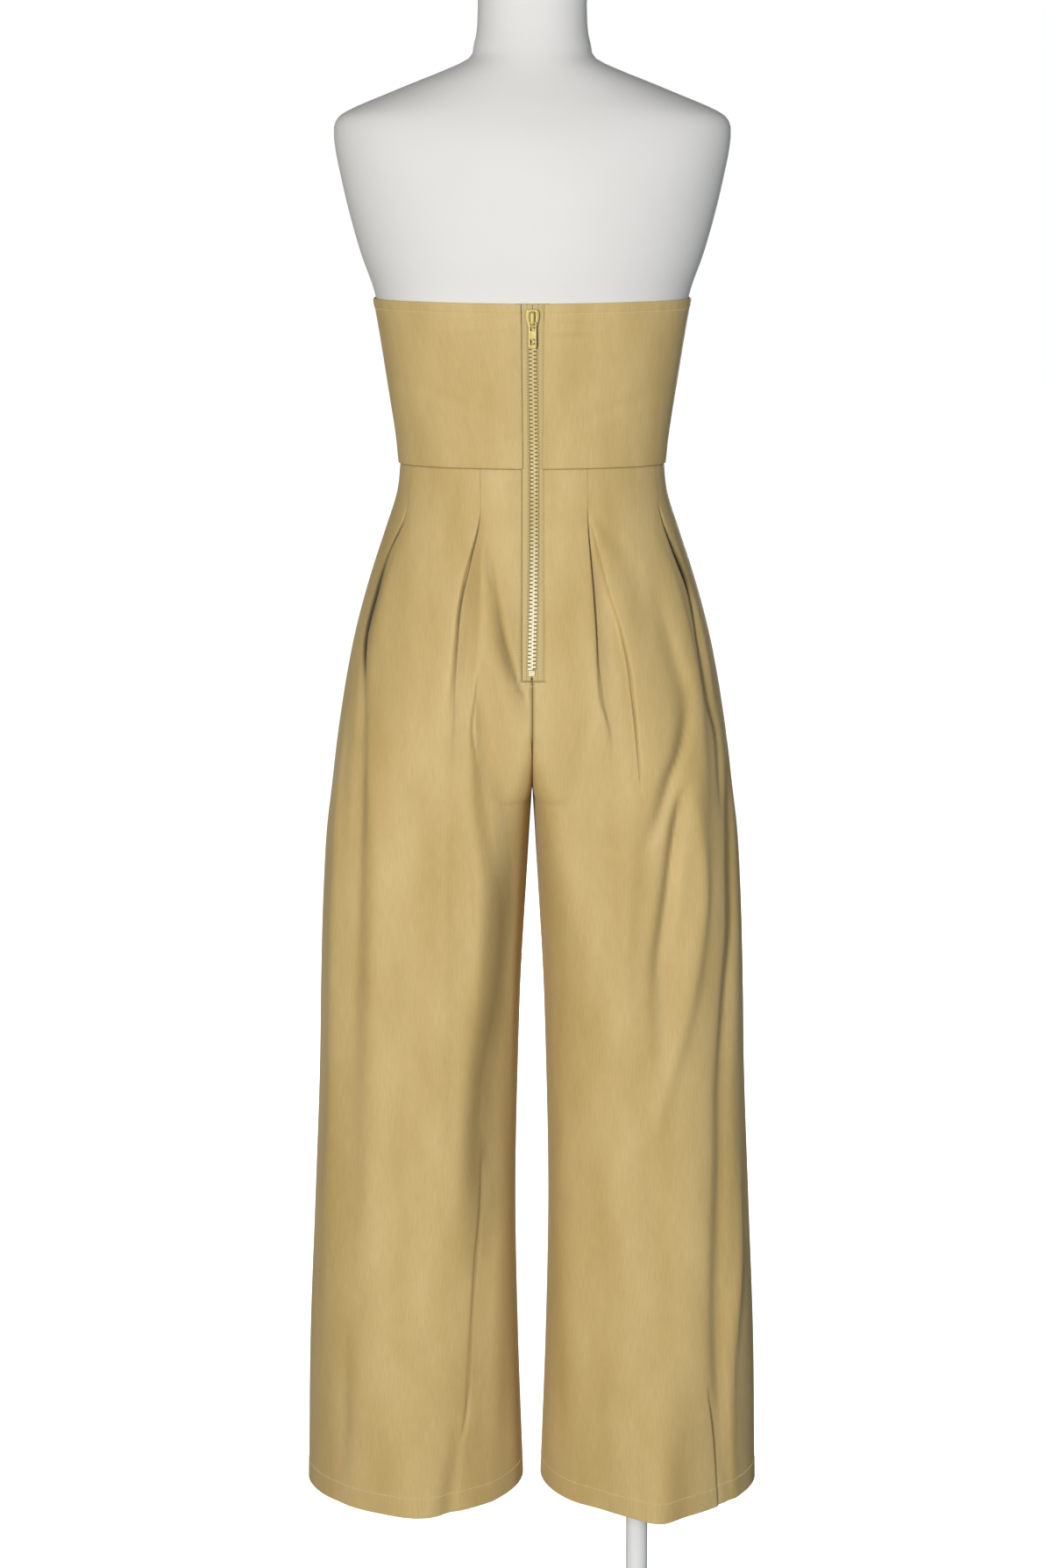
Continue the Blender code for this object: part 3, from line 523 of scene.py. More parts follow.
RIGHT_SHADES = (
    (None, (
        (1040, 150, 6, 4, 0), (1005, 149, 7, 4, 0.24), (972, 143, 8, 3.4, 0.32),
        (938, 131.5, 6, 3.2, 0.34), (912, 123.8, 5, 3.2, 0.28), (878, 114, 4, 3.2, 0),
    )),
    (None, (
        (925, 142, 3, 3, 0), (907, 139.6, 4, 3, 0.3), (865, 133.4, 4.6, 3.2, 0.38),
        (827, 128.6, 4.8, 3.6, 0.38), (799, 124.6, 5, 4, 0.34), (761, 119.6, 5.4, 5, 0.28),
        (720, 120.6, 6, 5, 0.2), (662, 122.6, 7, 6, 0.1), (620, 124, 7, 6, 0),
    )),
    (0, (
        (1236.9, 0, 0.4, 0.4, 0.3), (1198, 0, 0.4, 0.4, 0.34), (1186, 0, 0.5, 0.8, 0.6),
        (1119, 0.2, 0.5, 1.1, 0.75), (1051, 0.2, 0.6, 1.1, 0.65), (1010, 0.2, 1, 1.3, 0.4),
        (982, 0, 2, 2, 0.15), (960, 0, 3, 3, 0),
    )),
    (0, (
        (1190, 1, 0.7, 3, 0), (1134, 1, 0.7, 8, 0.22), (1068, 1, 1, 13, 0.22), (1010, 1, 3, 13, 0.15),
        (965, 0, 6, 10, 0),
    )),
    (1, (
        (1100, 0, 0.5, 0.5, 0), (1070, -0.2, 0.8, 0.5, 0.3), (1040, -0.2, 0.9, 0.5, 0.55),
        (993, -0.2, 0.9, 0.5, 0.6), (958, -0.2, 0.8, 0.5, 0.55), (930, 0, 0.8, 0.8, 0),
    )),
    (2, (
        (1236.9, 0, 0.4, 0.4, 0.25), (1202, 0.2, 0.4, 0.4, 0.3), (1190, 0.8, 1, 1, 0.7),
        (1168, 1.6, 4, 2.4, 1), (1150, 2.4, 5.4, 3, 1), (1125, 3.2, 6, 3, 1), (1100, 3, 4.8, 2.4, 1),
        (1060, 2.4, 2.6, 1.6, 0.6), (1000, 1.6, 2, 1.6, 0.35), (950, 0.6, 2, 2, 0),
    )),
    (2, (
        (1190, 2, 1, 3, 0), (1150, 4, 2, 4, 0.22), (1090, 6, 3, 6, 0.32), (1020, 5, 3, 8, 0.25),
        (950, 4, 6, 8, 0),
    )),
)
# No fold or shade is narrower than this on either side
LEAST_WIDTH = 0.5
# Below this height the folds are this much deeper than their tables say, reached over the fade
LOW_FOLDS = 980.0
LOW_FOLD_GAIN = 0.6
LOW_FOLDS_FADE = 80.0
# Each seam's edge is turned in by this much over this distance, and painted shade along its line is this
# dark and this wide
SEAM_TURN = 0.4
SEAM_TURN_WIDTH = 1.6
SEAM_SHADE = 0.27
SEAM_SHADE_WIDTH = 0.5
# How dark the painted shade line at the foot of the zip's window is, and its height
WINDOW_SHADE = 0.5
WINDOW_SHADE_HIGH = 1.2
# Over the zip tape and a little below it the cloth can't sink deeper than this, and beside it by no more
# than this in addition, reached over a distance
TAPE_COVER = 0.9
FREE_COVER = 12.0
FREE_COVER_OVER = 6.0
COVER_BELOW_TAPE = 3.0
# Folds fade out over these distances towards the waist, the side seam and the centre, and over more towards
# the inner leg, which starts this far above the crotch and is reached over this height
WAIST_FADE = 30.0
SIDE_FADE = 9.0
CENTRE_FADE = 5.0
INSEAM_MORE_FADE = 9.0
INSEAM_START = 60.0
INSEAM_OVER = 120.0
# Below the crotch the column at the window's edge moves in to this far from the inner leg's seam
INSEAM_COLUMN = 0.8
INSEAM_COLUMN_OVER = 80.0
# The turned-up hem stands out by this much, and steps back over this height. The height over which the
# leg's cloth follows the hem's drop
HEM_PROUD = 0.35
HEM_STEP = 2.4
HEM_DROP_OVER = 90.0
# Folds stand out straight back at the centre and turn along the cloth's own direction towards the side
TURN_GAIN = 2.2
TURN_START = 0.2
# Rows of the trousers' mesh, measured down from the waist and up from the hem, the height down to which
# they are close together, and the height over which they then draw apart
WAIST_ROWS = (SEAM / 2, 1.0, 2.2)
WAIST_ROWS_END = 4.0
WINDOW_ROW = 1.0
HEM_ROWS = (1.2, 0.4, 0.0)
FINE_UNTIL = 940.0
COARSER_OVER = 200.0
# Bodice panels, as shares of their width and height: columns close to each side, the first and last of the
# even ones, how many those are, and rows close to the waist, even ones and rows close to the top edge
PANEL_START = (0.0, 0.002, 0.005, 0.009)
PANEL_EVEN = (0.02, 0.98)
PANEL_END = (0.991, 0.995, 0.998, 1.0)
BACK_COLUMNS = 90
FRONT_COLUMNS = 110
PANEL_FOOT = (0.0, 0.004, 0.01)
PANEL_ROWS = (0.022, 0.925, 44)
PANEL_TOP = (0.935, 0.942, 0.949, 0.956, 0.965, 0.975, 0.985, 0.992, 0.997, 1.0)
BODICE_THICK = CLOTH + 0.2
# The top edge rolls in. Its facing stands out as far down as its stitches, which pull a groove
TOP_ROLL = 0.5
TOP_ROLL_OVER = 0.8
FACING_PROUD = 0.25
FACING_STEP = 1.2
STITCH_GROOVE = 0.35
STITCH_GROOVE_HALF = 1.1
# The facing puckers in three mixed waves a little above its stitches
PUCKER = 0.22
PUCKER_WAVES = (3.1, 23.0, 7.3)
PUCKER_SWAY = 1.7
PUCKER_START = 0.6
PUCKER_MIDDLE = 0.6 * TOP_STITCH
PUCKER_HALF = 5.0
# Painted shade in the slot beside the slider, between the window's edge and the tape, from its foot up
SLOT_SHADE = 0.8
SLOT_OFF = 0.3
SLOT_HALF = 0.9
SLOT_FOOT = 1368.0
SLOT_OVER = 14.0
# Strain folds of the bodice's back: middle x, middle height, half length, half width, tilt, how far out
STRAIN = (
    (38, 1373, 34, 3.4, -0.1, -1.19),
    (50, 1363, 36, 3, 0.06, -1.02),
    (44, 1368, 34, 3, -0.02, 1.02),
    (-42, 1378, 34, 3, 0.1, -1.02),
    (-48, 1371, 32, 3, 0.05, 0.85),
    (84, 1296, 40, 7, 0.35, -0.85),
    (-78, 1302, 40, 7, -0.35, -0.85),
    (-30, 1262, 30, 5, 0.3, -0.85),
    (32, 1258, 30, 5, -0.3, -0.68),
)
# From the side seams towards the back, these folds grow in over this depth
STRAIN_DEPTH = 40.0
# Pressed folds beside the window's top: side, distance at the top edge, how far out; they lean inwards
# downwards and run out at their foot
PRESSED = ((1, 21.0, -0.9), (-1, 19.0, -0.5))
PRESSED_LEAN = 0.24
PRESSED_HALF = 1.6
PRESSED_FOOT = 1366.0
PRESSED_OVER = 22.0
# The facing's edge, stitched down on each side of the window
FACING_EDGES = (-14.8, 16.2)
FACING_EDGE = 0.3
FACING_EDGE_HALF = 0.9
# A wave texture's scale at a pitch of 1, and the place of the stitches that hold the tape's cord
WAVE_OF_PITCH = 0.314
CORD_STITCHES = 5.3
# The cloth's straight grain runs down each trouser panel this far from the centre
GRAIN_LINE = 95.0
MIRROR = np.array([-1.0, 1.0, 1.0])
# The camera: sensor in mm, focal length and photo's height in pixels, place in metres, degrees downwards
SENSOR = 36.0
FOCAL_PIXELS = 4186.0
PHOTO_HEIGHT = 1788.0
CAMERA_PLACE = (-0.0095, -3.6, 1.513)
CAMERA_TILT = 9.4
# How far the hem hangs below its level: distance from the centre, drop
LEFT_HEM = ((8, 0), (60, 0.6), (105, 1.6), (150, 0.6), (228, 0))
RIGHT_HEM = ((8, 0), (60, 0.5), (100, 3), (128, 5.6), (160, 3.6), (200, 1), (228, 0))


def read(table, height):
    """Every column of a table at a height, on a smooth curve through its rows."""
    rows = np.array(sorted(table), dtype=float)
    h = rows[:, 0]
    z = min(max(height, h[0]), h[-1])
    slopes = np.gradient(rows[:, 1:], h, axis=0)
    i = min(int(np.searchsorted(h, z, side="right")) - 1, len(h) - 2)
    step = h[i + 1] - h[i]
    t = (z - h[i]) / step
    return (
        rows[i, 1:] * (2 * t**3 - 3 * t**2 + 1)
        + rows[i + 1, 1:] * (3 * t**2 - 2 * t**3)
        + slopes[i] * step * (t**3 - 2 * t**2 + t)
        + slopes[i + 1] * step * (t**3 - t**2)
    )


def ease(t):
    """0 to 1 with level ends."""
    t = np.clip(t, 0.0, 1.0)
    return t * t * (3 - 2 * t)


def bell(away, width):
    """1 in the middle and soft to 0 on both sides."""
    return np.exp(-((away / width) ** 2))


def zip_lift(x, height):
    """How far the back stands off the form over the zip tape."""
    across = 1 - ease((np.abs(x) - ZIP_LIFT_FLAT) / (ZIP_LIFT_END - ZIP_LIFT_FLAT))
    return ZIP_LIFT * across * ease((height - ZIP_LIFT_FOOT) / ZIP_LIFT_FADE)


def section(angles, height, size):
    """Points of a torso section; angle 0 is the centre back, half a turn the centre front."""
    width, back, front = size
    s, c = np.sin(angles), np.cos(angles)
    x = width * np.sign(s) * np.abs(s) ** (2 / SECTION_POWER)
    depth = np.abs(c) ** (2 / SECTION_POWER)
    bust = BUST_SIZE * bell(height - BUST_HEIGHT, BUST_SPREAD_UP) * bell(np.abs(x) - BUST_X, BUST_SPREAD_X)
    y = np.where(c > 0, -back * depth, front * depth + bust)
    return np.column_stack([x, y, np.full(len(x), height)])


def bodice_row(angles, height):
    """Points of the bodice's outer face, without its folds."""
    points = section(angles, height, read(BODICE, height))
    at_back = np.maximum(np.cos(angles), 0.0)
    points[:, 1] -= zip_lift(points[:, 0], height) * at_back
    return points


def top_edge(angles):
    """Height of the bodice's top edge at each angle."""
    forward = -np.cos(angles)
    behind = TOP_BACK + (TOP_SIDE - TOP_BACK) * np.abs(np.sin(angles))
    return np.where(forward < 0, behind, TOP_SIDE + (TOP_FRONT - TOP_SIDE) * forward)


def half_ring(height):
    """Right half of a trouser section, from the back centre or inseam round to the front."""
    width, inner, back, front = read(TROUSERS, height)
    bend = min(max((height - CROTCH) / RISE_BEND, 0.0), 1.0)
    rise = (1 - (1 - bend) ** RISE_POWER) ** (1 / RISE_POWER)
    half = (width + inner) / 2
    middle = max(half * (1 - ease((height - CROTCH) / SEAT_BLEND)), inner) + FLAT_LEAST
    near = max(half * (1 - ease((height - SEAT_FLAT_FOOT) / SEAT_FLAT)), inner)
    turns = np.linspace(0.0, math.pi / 2, RING_STEPS)
    low = ease((HEM_EDGE - height) / (HEM_EDGE - HEM))
    power = 2 / (SECTION_POWER + (HEM_POWER - SECTION_POWER) * low)
    inner_power = 2 / (INNER_LEG_POWER + (HEM_INNER_POWER - INNER_LEG_POWER) * low)
    halves = []
    for depth in (-back, front):
        edge_y = CROTCH_Y + (depth - CROTCH_Y) * rise
        back_turns = turns[::-1]
        inside = np.column_stack([
            near - (near - inner) * np.sin(back_turns) ** inner_power,
            edge_y + (depth - edge_y) * np.cos(back_turns) ** inner_power,
        ])
        outside = np.column_stack([
            middle + (width - middle) * np.sin(turns) ** power,
            depth * np.cos(turns) ** power,
        ])
        halves.append(np.vstack([inside, outside]))
    points = np.vstack([halves[0], halves[1][-2::-1]])
    along = np.concatenate([[0.0], np.cumsum(np.linalg.norm(np.diff(points, axis=0), axis=1))])
    return points, along, len(halves[0]) - 1


def place_of(points, along, low, high, x):
    """Arc length, between two indices, of the point whose distance from the centre is x."""
    xs, part = points[low:high + 1, 0], along[low:high + 1]
    if xs[0] > xs[-1]:
        xs, part = xs[::-1], part[::-1]
    return float(np.interp(x, np.maximum.accumulate(xs), part))


def columns(stops, steps):
    """Even steps between the stops, drawn close together beside each fold line."""
    made = [stops[0]]
    for i, count in enumerate(steps):
        low, high = stops[i], stops[i + 1]
        share = min(1.0, (high - low) / (NEAR_ROOM * NEAR_LINE[-1]))
        start = [low + n * share for n in NEAR_LINE] if i > 0 else []
        end = [high - n * share for n in reversed(NEAR_LINE)] if i < len(steps) - 1 else []
        inner = np.linspace((start or [low])[-1], (end or [high])[0], count + 2)[1:-1]
        made += [*start, *inner, *end, high]
    return np.array(made)


def swell(arcs, middle, near, far, size):
    """A soft hump across the columns, with its own width on either side."""
    away = arcs - middle
    return size * bell(away, np.where(away < 0, max(near, LEAST_WIDTH), max(far, LEAST_WIDTH)))


def relief(folds, arcs, height, place):
    """How far out the cloth stands at each column: troughs and ridges along the fold tables."""
    out = np.zeros(len(arcs))
    for rows in folds.values():
        if rows[-1][0] <= height <= rows[0][0]:
            x, near, far, size = read(rows, height)
            out += swell(arcs, place(x), near, far, size)
    return out * (1 + LOW_FOLD_GAIN * ease((LOW_FOLDS - height) / LOW_FOLDS_FADE))


def darkness(shades, lines, arcs, height, place):
    """How far each column lies in the dark of a fold, from 0 to 1."""
    dark = np.zeros(len(arcs))
    for line, rows in shades:
        if rows[-1][0] <= height <= rows[0][0]:
            off, near, far, size = read(rows, height)
            middle = place(off) if line is None else place(read(lines, height)[line]) + off
            dark = np.maximum(dark, swell(arcs, middle, near, far, size))
    return dark


def normals_of(grid):
    """Outward directions of a grid of points whose rows go down and whose columns go outwards."""
    across = np.gradient(grid, axis=1)
    down = np.gradient(grid, axis=0)
    normal = np.cross(down, across)
    return normal / np.maximum(np.linalg.norm(normal, axis=2, keepdims=True), 1e-9)


def made_of(name, points, faces):
    """A smooth piece of these points, in metres, and faces."""
    mesh = bpy.data.meshes.new(name)
    mesh.from_pydata(points, [], faces)
    mesh.shade_smooth()
    piece = bpy.data.objects.new(name, mesh)
    bpy.context.scene.collection.objects.link(piece)
    return piece


def shell(name, outer, inner, ways, dark, present=None):
    """A thin closed sheet between two grids, with its own UV map in millimetres."""
    rows, cols = outer.shape[:2]
    there = np.ones((rows - 1, cols - 1), bool) if present is None else present
    number = np.arange(rows * cols).reshape(rows, cols)
    a, b = number[:-1, :-1][there], number[:-1, 1:][there]
    c, d = number[1:, 1:][there], number[1:, :-1][there]
    face = np.column_stack([a, d, c, b])
    rim = []
    padded = np.pad(there, 1)
    for (r, q), (first, second) in zip(
        ((-1, 0), (0, 1), (1, 0), (0, -1)),
        ((number[:-1, :-1], number[:-1, 1:]), (number[:-1, 1:], number[1:, 1:]),
         (number[1:, 1:], number[1:, :-1]), (number[1:, :-1], number[:-1, :-1])),
    ):
        beside = padded[1 + r:rows + r, 1 + q:cols + q]
        edge = there & ~beside
        i, j = first[edge], second[edge]
        rim.append(np.column_stack([i, j, j + rows * cols, i + rows * cols]))
    faces = np.vstack([face, face[:, ::-1] + rows * cols, *rim])
    points = np.vstack([outer.reshape(-1, 3), inner.reshape(-1, 3)]) * MM
    used = np.unique(faces)
    renumber = np.zeros(len(points), int)
    renumber[used] = np.arange(len(used))
    piece = made_of(name, points[used].tolist(), renumber[faces].tolist())
    mesh = piece.data
    uv = mesh.uv_layers.new(name="cloth_mm")
    flat = np.vstack([ways.reshape(-1, 2)] * 2)[used]
    loops = np.zeros(len(mesh.loops), int)
    mesh.loops.foreach_get("vertex_index", loops)
    uv.data.foreach_set("uv", flat[loops].ravel())
    shade = mesh.attributes.new("fold_shade", "FLOAT", "POINT")
    shade.data.foreach_set("value", np.concatenate([dark.ravel()] * 2)[used])
    return piece


def heights_between(top, bottom, finest, coarsest, fine_until):
    """Row heights, close together above fine_until and wider apart below it."""
    made = [top]
    while made[-1] > bottom + coarsest:
        share = ease((fine_until - made[-1]) / COARSER_OVER)
        made.append(made[-1] - (finest + (coarsest - finest) * share))
    return np.array([*made, bottom])


def seam_turn(distance):
    """How far a seam's edge is turned in, this far from it."""
    return -SEAM_TURN * np.exp(-np.maximum(distance, 0.0) / SEAM_TURN_WIDTH)


def trouser_grid(front, lines, folds, shades, hem, steps, fold_share, finest, coarsest):
    """Outer and inner points, UVs, shade and row heights of one trouser panel on the right-hand side."""
    heights = np.concatenate([
        WAIST - np.array(WAIST_ROWS),
        heights_between(WAIST - WAIST_ROWS_END, ZIP_BOTTOM + WINDOW_ROW, finest, finest, 0.0),
        heights_between(ZIP_BOTTOM, HEM + HEM_STEP, finest, coarsest, FINE_UNTIL),
        HEM + np.array(HEM_ROWS),
    ])
    base, sink, ways, drops, dark = [], [], [], [], []
    for z in heights:
        points, along, side = half_ring(z)
        low, high = (side, len(points) - 1) if front else (0, side)
        turn = -1.0 if front else 1.0
        centre = along[-1] - SEAM / 2 if front else SEAM / 2
        seam = along[side] - turn * SEAM / 2

        def place(x):
            return turn * (place_of(points, along, low, high, x) - centre)

        first = ZIP_WINDOW
        if z <= CROTCH:
            first = ZIP_WINDOW * (1 - ease((CROTCH - z) / INSEAM_COLUMN_OVER)) + INSEAM_COLUMN
        wide = abs(seam - centre)
        stops = [first, *[place(x) for x in read(lines, z)], wide]
        arcs = np.concatenate([first * np.arange(WINDOW_COLUMNS) / WINDOW_COLUMNS, columns(stops, steps)])
        at = centre + turn * arcs
        here = np.column_stack([
            np.interp(at, along, points[:, 0]), np.interp(at, along, points[:, 1]), np.full(len(at), z),
        ])
        if not front:
            here[:, 1] -= zip_lift(here[:, 0], z) * -np.minimum(here[:, 1], 0.0) / read(TROUSERS, z)[2]
        out = relief(folds, arcs, z, place) * fold_share
        if not front and z > ZIP_BOTTOM - TAPE_TAIL - COVER_BELOW_TAPE:
            out = np.maximum(out, -TAPE_COVER - FREE_COVER * ease((arcs - TAPE_HALF) / FREE_COVER_OVER))
        edge = CENTRE_FADE + INSEAM_MORE_FADE * ease((CROTCH + INSEAM_START - z) / INSEAM_OVER)
        start = 0.0 if front or z < ZIP_BOTTOM else ZIP_WINDOW
        out *= ease((arcs - start) / edge) * ease((wide - arcs) / SIDE_FADE) * ease((WAIST - z) / WAIST_FADE)
        out += seam_turn(arcs - start) + seam_turn(wide - arcs) + seam_turn(WAIST - z)
        out += HEM_PROUD * (1 - ease((z - HEM - HEM_DEPTH + HEM_STEP / 2) / HEM_STEP))
        shaded = darkness(shades, lines, arcs, z, place) * fold_share
        # painted shade along the seams' lines
        seams = np.minimum(wide - arcs, WAIST - z)
        if front or z < ZIP_BOTTOM:
            seams = np.minimum(seams, arcs)
        shaded = np.maximum(shaded, SEAM_SHADE * bell(seams, SEAM_SHADE_WIDTH))
        # painted shade along the foot of the window
        if not front and z <= ZIP_BOTTOM:
            foot = (arcs <= ZIP_WINDOW) * bell(ZIP_BOTTOM - z, WINDOW_SHADE_HIGH)
            shaded = np.maximum(shaded, WINDOW_SHADE * foot)
        dark.append(shaded)
        base.append(here)
        sink.append(out)
        ways.append(np.column_stack([turn * (arcs - place(GRAIN_LINE)), np.full(len(arcs), z)]))
        drops.append(np.interp(here[:, 0], *np.array(hem).T) * (1 - ease((z - HEM) / HEM_DROP_OVER)))
    base, sink, ways, drops, dark = (np.array(v) for v in (base, sink, ways, drops, dark))
    normal = normals_of(base) * (-1.0 if front else 1.0)
    width = np.array([read(TROUSERS, z)[0] for z in heights])[:, None]
    near_waist = ease((base[..., 2] - WAIST) / WAIST_INSET_FADE + 1)
    inset = WAIST_INSET * near_waist * (base[..., 0] / width) ** WAIST_INSET_POWER
    base -= normal * inset[..., None]
    way = normal.copy()
    way[..., 0] *= ease(base[..., 0] / width * TURN_GAIN - TURN_START)
    outer = base + way * sink[..., None]
    inner = outer - normal * CLOTH
    for grid in (outer, inner):
        grid[..., 0] = np.maximum(grid[..., 0], SEAM / 2)
        grid[..., 2] -= drops
    return outer, inner, ways, dark, heights


def trouser_panel(name, left, front, tables, hem):
    """One trouser panel; a back panel leaves the zip's window open."""
    how = (FRONT_STEPS, FRONT_FOLD_SHARE, *FRONT_ROW_STEPS) if front else (BACK_STEPS, 1.0, *BACK_ROW_STEPS)
    outer, inner, ways, dark, heights = trouser_grid(front, *tables, hem, *how)
    present = np.ones((len(heights) - 1, outer.shape[1] - 1), bool)
    if not front:
        present[heights[1:] >= ZIP_BOTTOM - NEAR, :WINDOW_COLUMNS] = False
    if left:
        outer, inner = outer * MIRROR, inner * MIRROR
    if left != front:
        outer, inner, ways, dark, present = (v[:, ::-1] for v in (outer, inner, ways, dark, present))
    return shell(name, outer, inner, ways, dark, present)


left_tables = (LEFT_LINES, LEFT_FOLDS, LEFT_SHADES)
right_tables = (RIGHT_LINES, RIGHT_FOLDS, RIGHT_SHADES)
trouser_back_left = trouser_panel("trouser_back_left_cloth", True, False, left_tables, LEFT_HEM)
trouser_back_right = trouser_panel("trouser_back_right_cloth", False, False, right_tables, RIGHT_HEM)
# The front has the same tucks; its folds are those of the other leg's back, a little slacker
trouser_front_left = trouser_panel("trouser_front_left_cloth", True, True, right_tables, LEFT_HEM)
trouser_front_right = trouser_panel("trouser_front_right_cloth", False, True, left_tables, RIGHT_HEM)


def window_angle(height):
    """The angle at which the bodice's back is a window's half width from the centre."""
    return math.asin((ZIP_WINDOW / read(BODICE, height)[0]) ** (SECTION_POWER / 2))


def bodice_panel(name, start, end, steps):
    """One bodice panel between two angles, from the waist seam to the top edge."""
    shares = np.concatenate([PANEL_START, np.linspace(*PANEL_EVEN, steps), PANEL_END])
    angles = start + (end - start) * shares
    tops = top_edge(angles)
    low = WAIST + SEAM / 2
    base = []
    for share in np.concatenate([PANEL_FOOT, np.linspace(*PANEL_ROWS), PANEL_TOP])[::-1]:
        heights = low + (tops - low) * share
        base.append([bodice_row(np.array([a]), z)[0] for a, z in zip(angles, heights)])
    base = np.array(base)
    x, y, z = base[..., 0], base[..., 1], base[..., 2]
    normal = normals_of(base)
    along = np.cumsum(np.linalg.norm(np.diff(base, axis=1, prepend=base[:, :1]), axis=2), axis=1)
    left_over = along[:, -1:] - along
    below = tops - z
    out = seam_turn(along) + seam_turn(left_over) + seam_turn(z - WAIST)
    out -= TOP_ROLL * np.exp(-below / TOP_ROLL_OVER)
    out += FACING_PROUD * (1 - ease((below - TOP_STITCH + FACING_STEP / 2) / FACING_STEP))
    out -= STITCH_GROOVE * bell(below - TOP_STITCH, STITCH_GROOVE_HALF)
    sway = PUCKER_SWAY * np.sin(along / PUCKER_WAVES[1])
    pucker = np.sin(along / PUCKER_WAVES[0] + sway) * np.sin(along / PUCKER_WAVES[2] + PUCKER_START)
    out += PUCKER * pucker * bell(below - PUCKER_MIDDLE, PUCKER_HALF)
    out += bodice_folds(x, y, z)
    outer = base + normal * out[..., None]
    inner = base - normal * BODICE_THICK
    ways = np.stack([along, z], axis=2)
    # painted shade along the seams' lines
    dark = SEAM_SHADE * bell(np.minimum(np.minimum(along, left_over), z - WAIST), SEAM_SHADE_WIDTH)
    # painted shade in the slot between the window's edge and the tape
    slot = bell(np.abs(x) - ZIP_WINDOW - SLOT_OFF, SLOT_HALF) * (y < 0)
    dark = np.maximum(dark, SLOT_SHADE * slot * ease((z - SLOT_FOOT) / SLOT_OVER))
    return shell(name, outer, inner, ways, dark)


def bodice_folds(x, y, z):
    """Soft strain folds beside the zip, and the pressed folds at the top of its window."""
    out = np.zeros(x.shape)
    for middle, height, length, width, tilt, size in STRAIN:
        out += size * bell(x - middle, length) * bell(z - height - tilt * (x - middle), width)
    near_top = ease((z - PRESSED_FOOT) / PRESSED_OVER)
    for side, top_x, size in PRESSED:
        middle = side * (top_x - PRESSED_LEAN * (TOP_BACK - z))
        out += near_top * size * bell(x - middle, PRESSED_HALF)
    for middle in FACING_EDGES:
        out -= FACING_EDGE * bell(x - middle, FACING_EDGE_HALF)
    return out * ease(-y / STRAIN_DEPTH)


quarter = math.pi / 2
side_gap = SEAM / 2 / read(BODICE, WAIST)[1]
window = window_angle((WAIST + TOP_BACK) / 2)
bodice_back_right = bodice_panel("bodice_back_right_cloth", window, quarter - side_gap, BACK_COLUMNS)
bodice_back_left = bodice_panel("bodice_back_left_cloth", side_gap - quarter, -window, BACK_COLUMNS)
bodice_front = bodice_panel("bodice_front_cloth", quarter + side_gap, 3 * quarter - side_gap, FRONT_COLUMNS)


def back_point(x, height):
    """The cloth's outer face near the centre back, without its folds."""
    if height > WAIST:
        width = read(BODICE, height)[0]
        angle = math.copysign(math.asin((abs(x) / width) ** (SECTION_POWER / 2)), x)
        return bodice_row(np.array([angle]), height)[0]
    points, _, side = half_ring(height)
    xs = np.maximum.accumulate(points[:side + 1, 0])
    y = np.interp(abs(x), xs, points[:side + 1, 1])
    return np.array([x, y - zip_lift(x, height), height])


def out_of(x, height):
    """The direction out of the cloth at a place near the centre back."""
    above, below = back_point(x, height + PROBE), back_point(x, height - PROBE)
    way = np.array([0.0, -1.0, (above[1] - below[1]) / (2 * PROBE)])
    return way / np.linalg.norm(way)


def drift(height):
    """How far the zip wanders off the centre line."""
    return float(read(ZIP_DRIFT, height)[0])


def zip_tape(name, turn):
    """One woven tape of the zip, from its cord beside the teeth out to under the cloth."""
    places = turn * np.array(TAPE_PLACES)
    outer, inner, ways = [], [], []
    for z in np.linspace(TAPE_TOP, ZIP_BOTTOM - TAPE_TAIL, TAPE_ROWS):
        wander = drift(z) * (1 - np.abs(places) / TAPE_HALF)
        row = np.array([back_point(x, z) for x in places + wander])
        out = out_of(0.0, z)
        proud = np.interp(np.abs(places), *np.array(TAPE_RELIEF).T)[:, None]
        outer.append(row - out * (TAPE_DEPTH - proud))
        inner.append(row - out * (TAPE_DEPTH + TAPE_THICK))
        ways.append(np.column_stack([places, np.full(len(places), z)]))
    outer, inner, ways = (np.array(v) for v in (outer, inner, ways))
    # painted shade: a dark square at the gap below the stop, and shade on the tape between the teeth
    dark = np.exp(-(((ways - [0.0, GAP_SHADE_HEIGHT]) / GAP_SHADE_HALF) ** GAP_SHADE_POWER).sum(axis=2))
    x, z = np.abs(ways[..., 0]), ways[..., 1]
    dark = np.maximum(dark, SHADE_BEHIND_TEETH * ((x < TEETH_HALF) & (z < CHAIN_TOP) & (z > CHAIN_BOTTOM)))
    if turn < 0:
        outer, inner, ways, dark = (v[:, ::-1] for v in (outer, inner, ways, dark))
    return shell(name, outer, inner, ways, dark)


zip_tape_left = zip_tape("zip_tape_left_weave", -1.0)
zip_tape_right = zip_tape("zip_tape_right_weave", 1.0)


def cube(name, size, middle):
    """A box of this size round this middle, in millimetres, alone in the selection."""
    bpy.ops.object.select_all(action="DESELECT")
    bpy.ops.mesh.primitive_cube_add(size=1.0, location=(0, 0, 0))
    piece = bpy.context.object
    piece.name = piece.data.name = name
    bpy.ops.object.mode_set(mode="EDIT")
    bpy.ops.mesh.select_mode(type="FACE")
    bpy.ops.mesh.select_all(action="SELECT")
    bpy.ops.transform.resize(value=Vector(size) * MM)
    bpy.ops.transform.translate(value=Vector(middle) * MM)
    bpy.ops.object.mode_set(mode="OBJECT")
    return piece


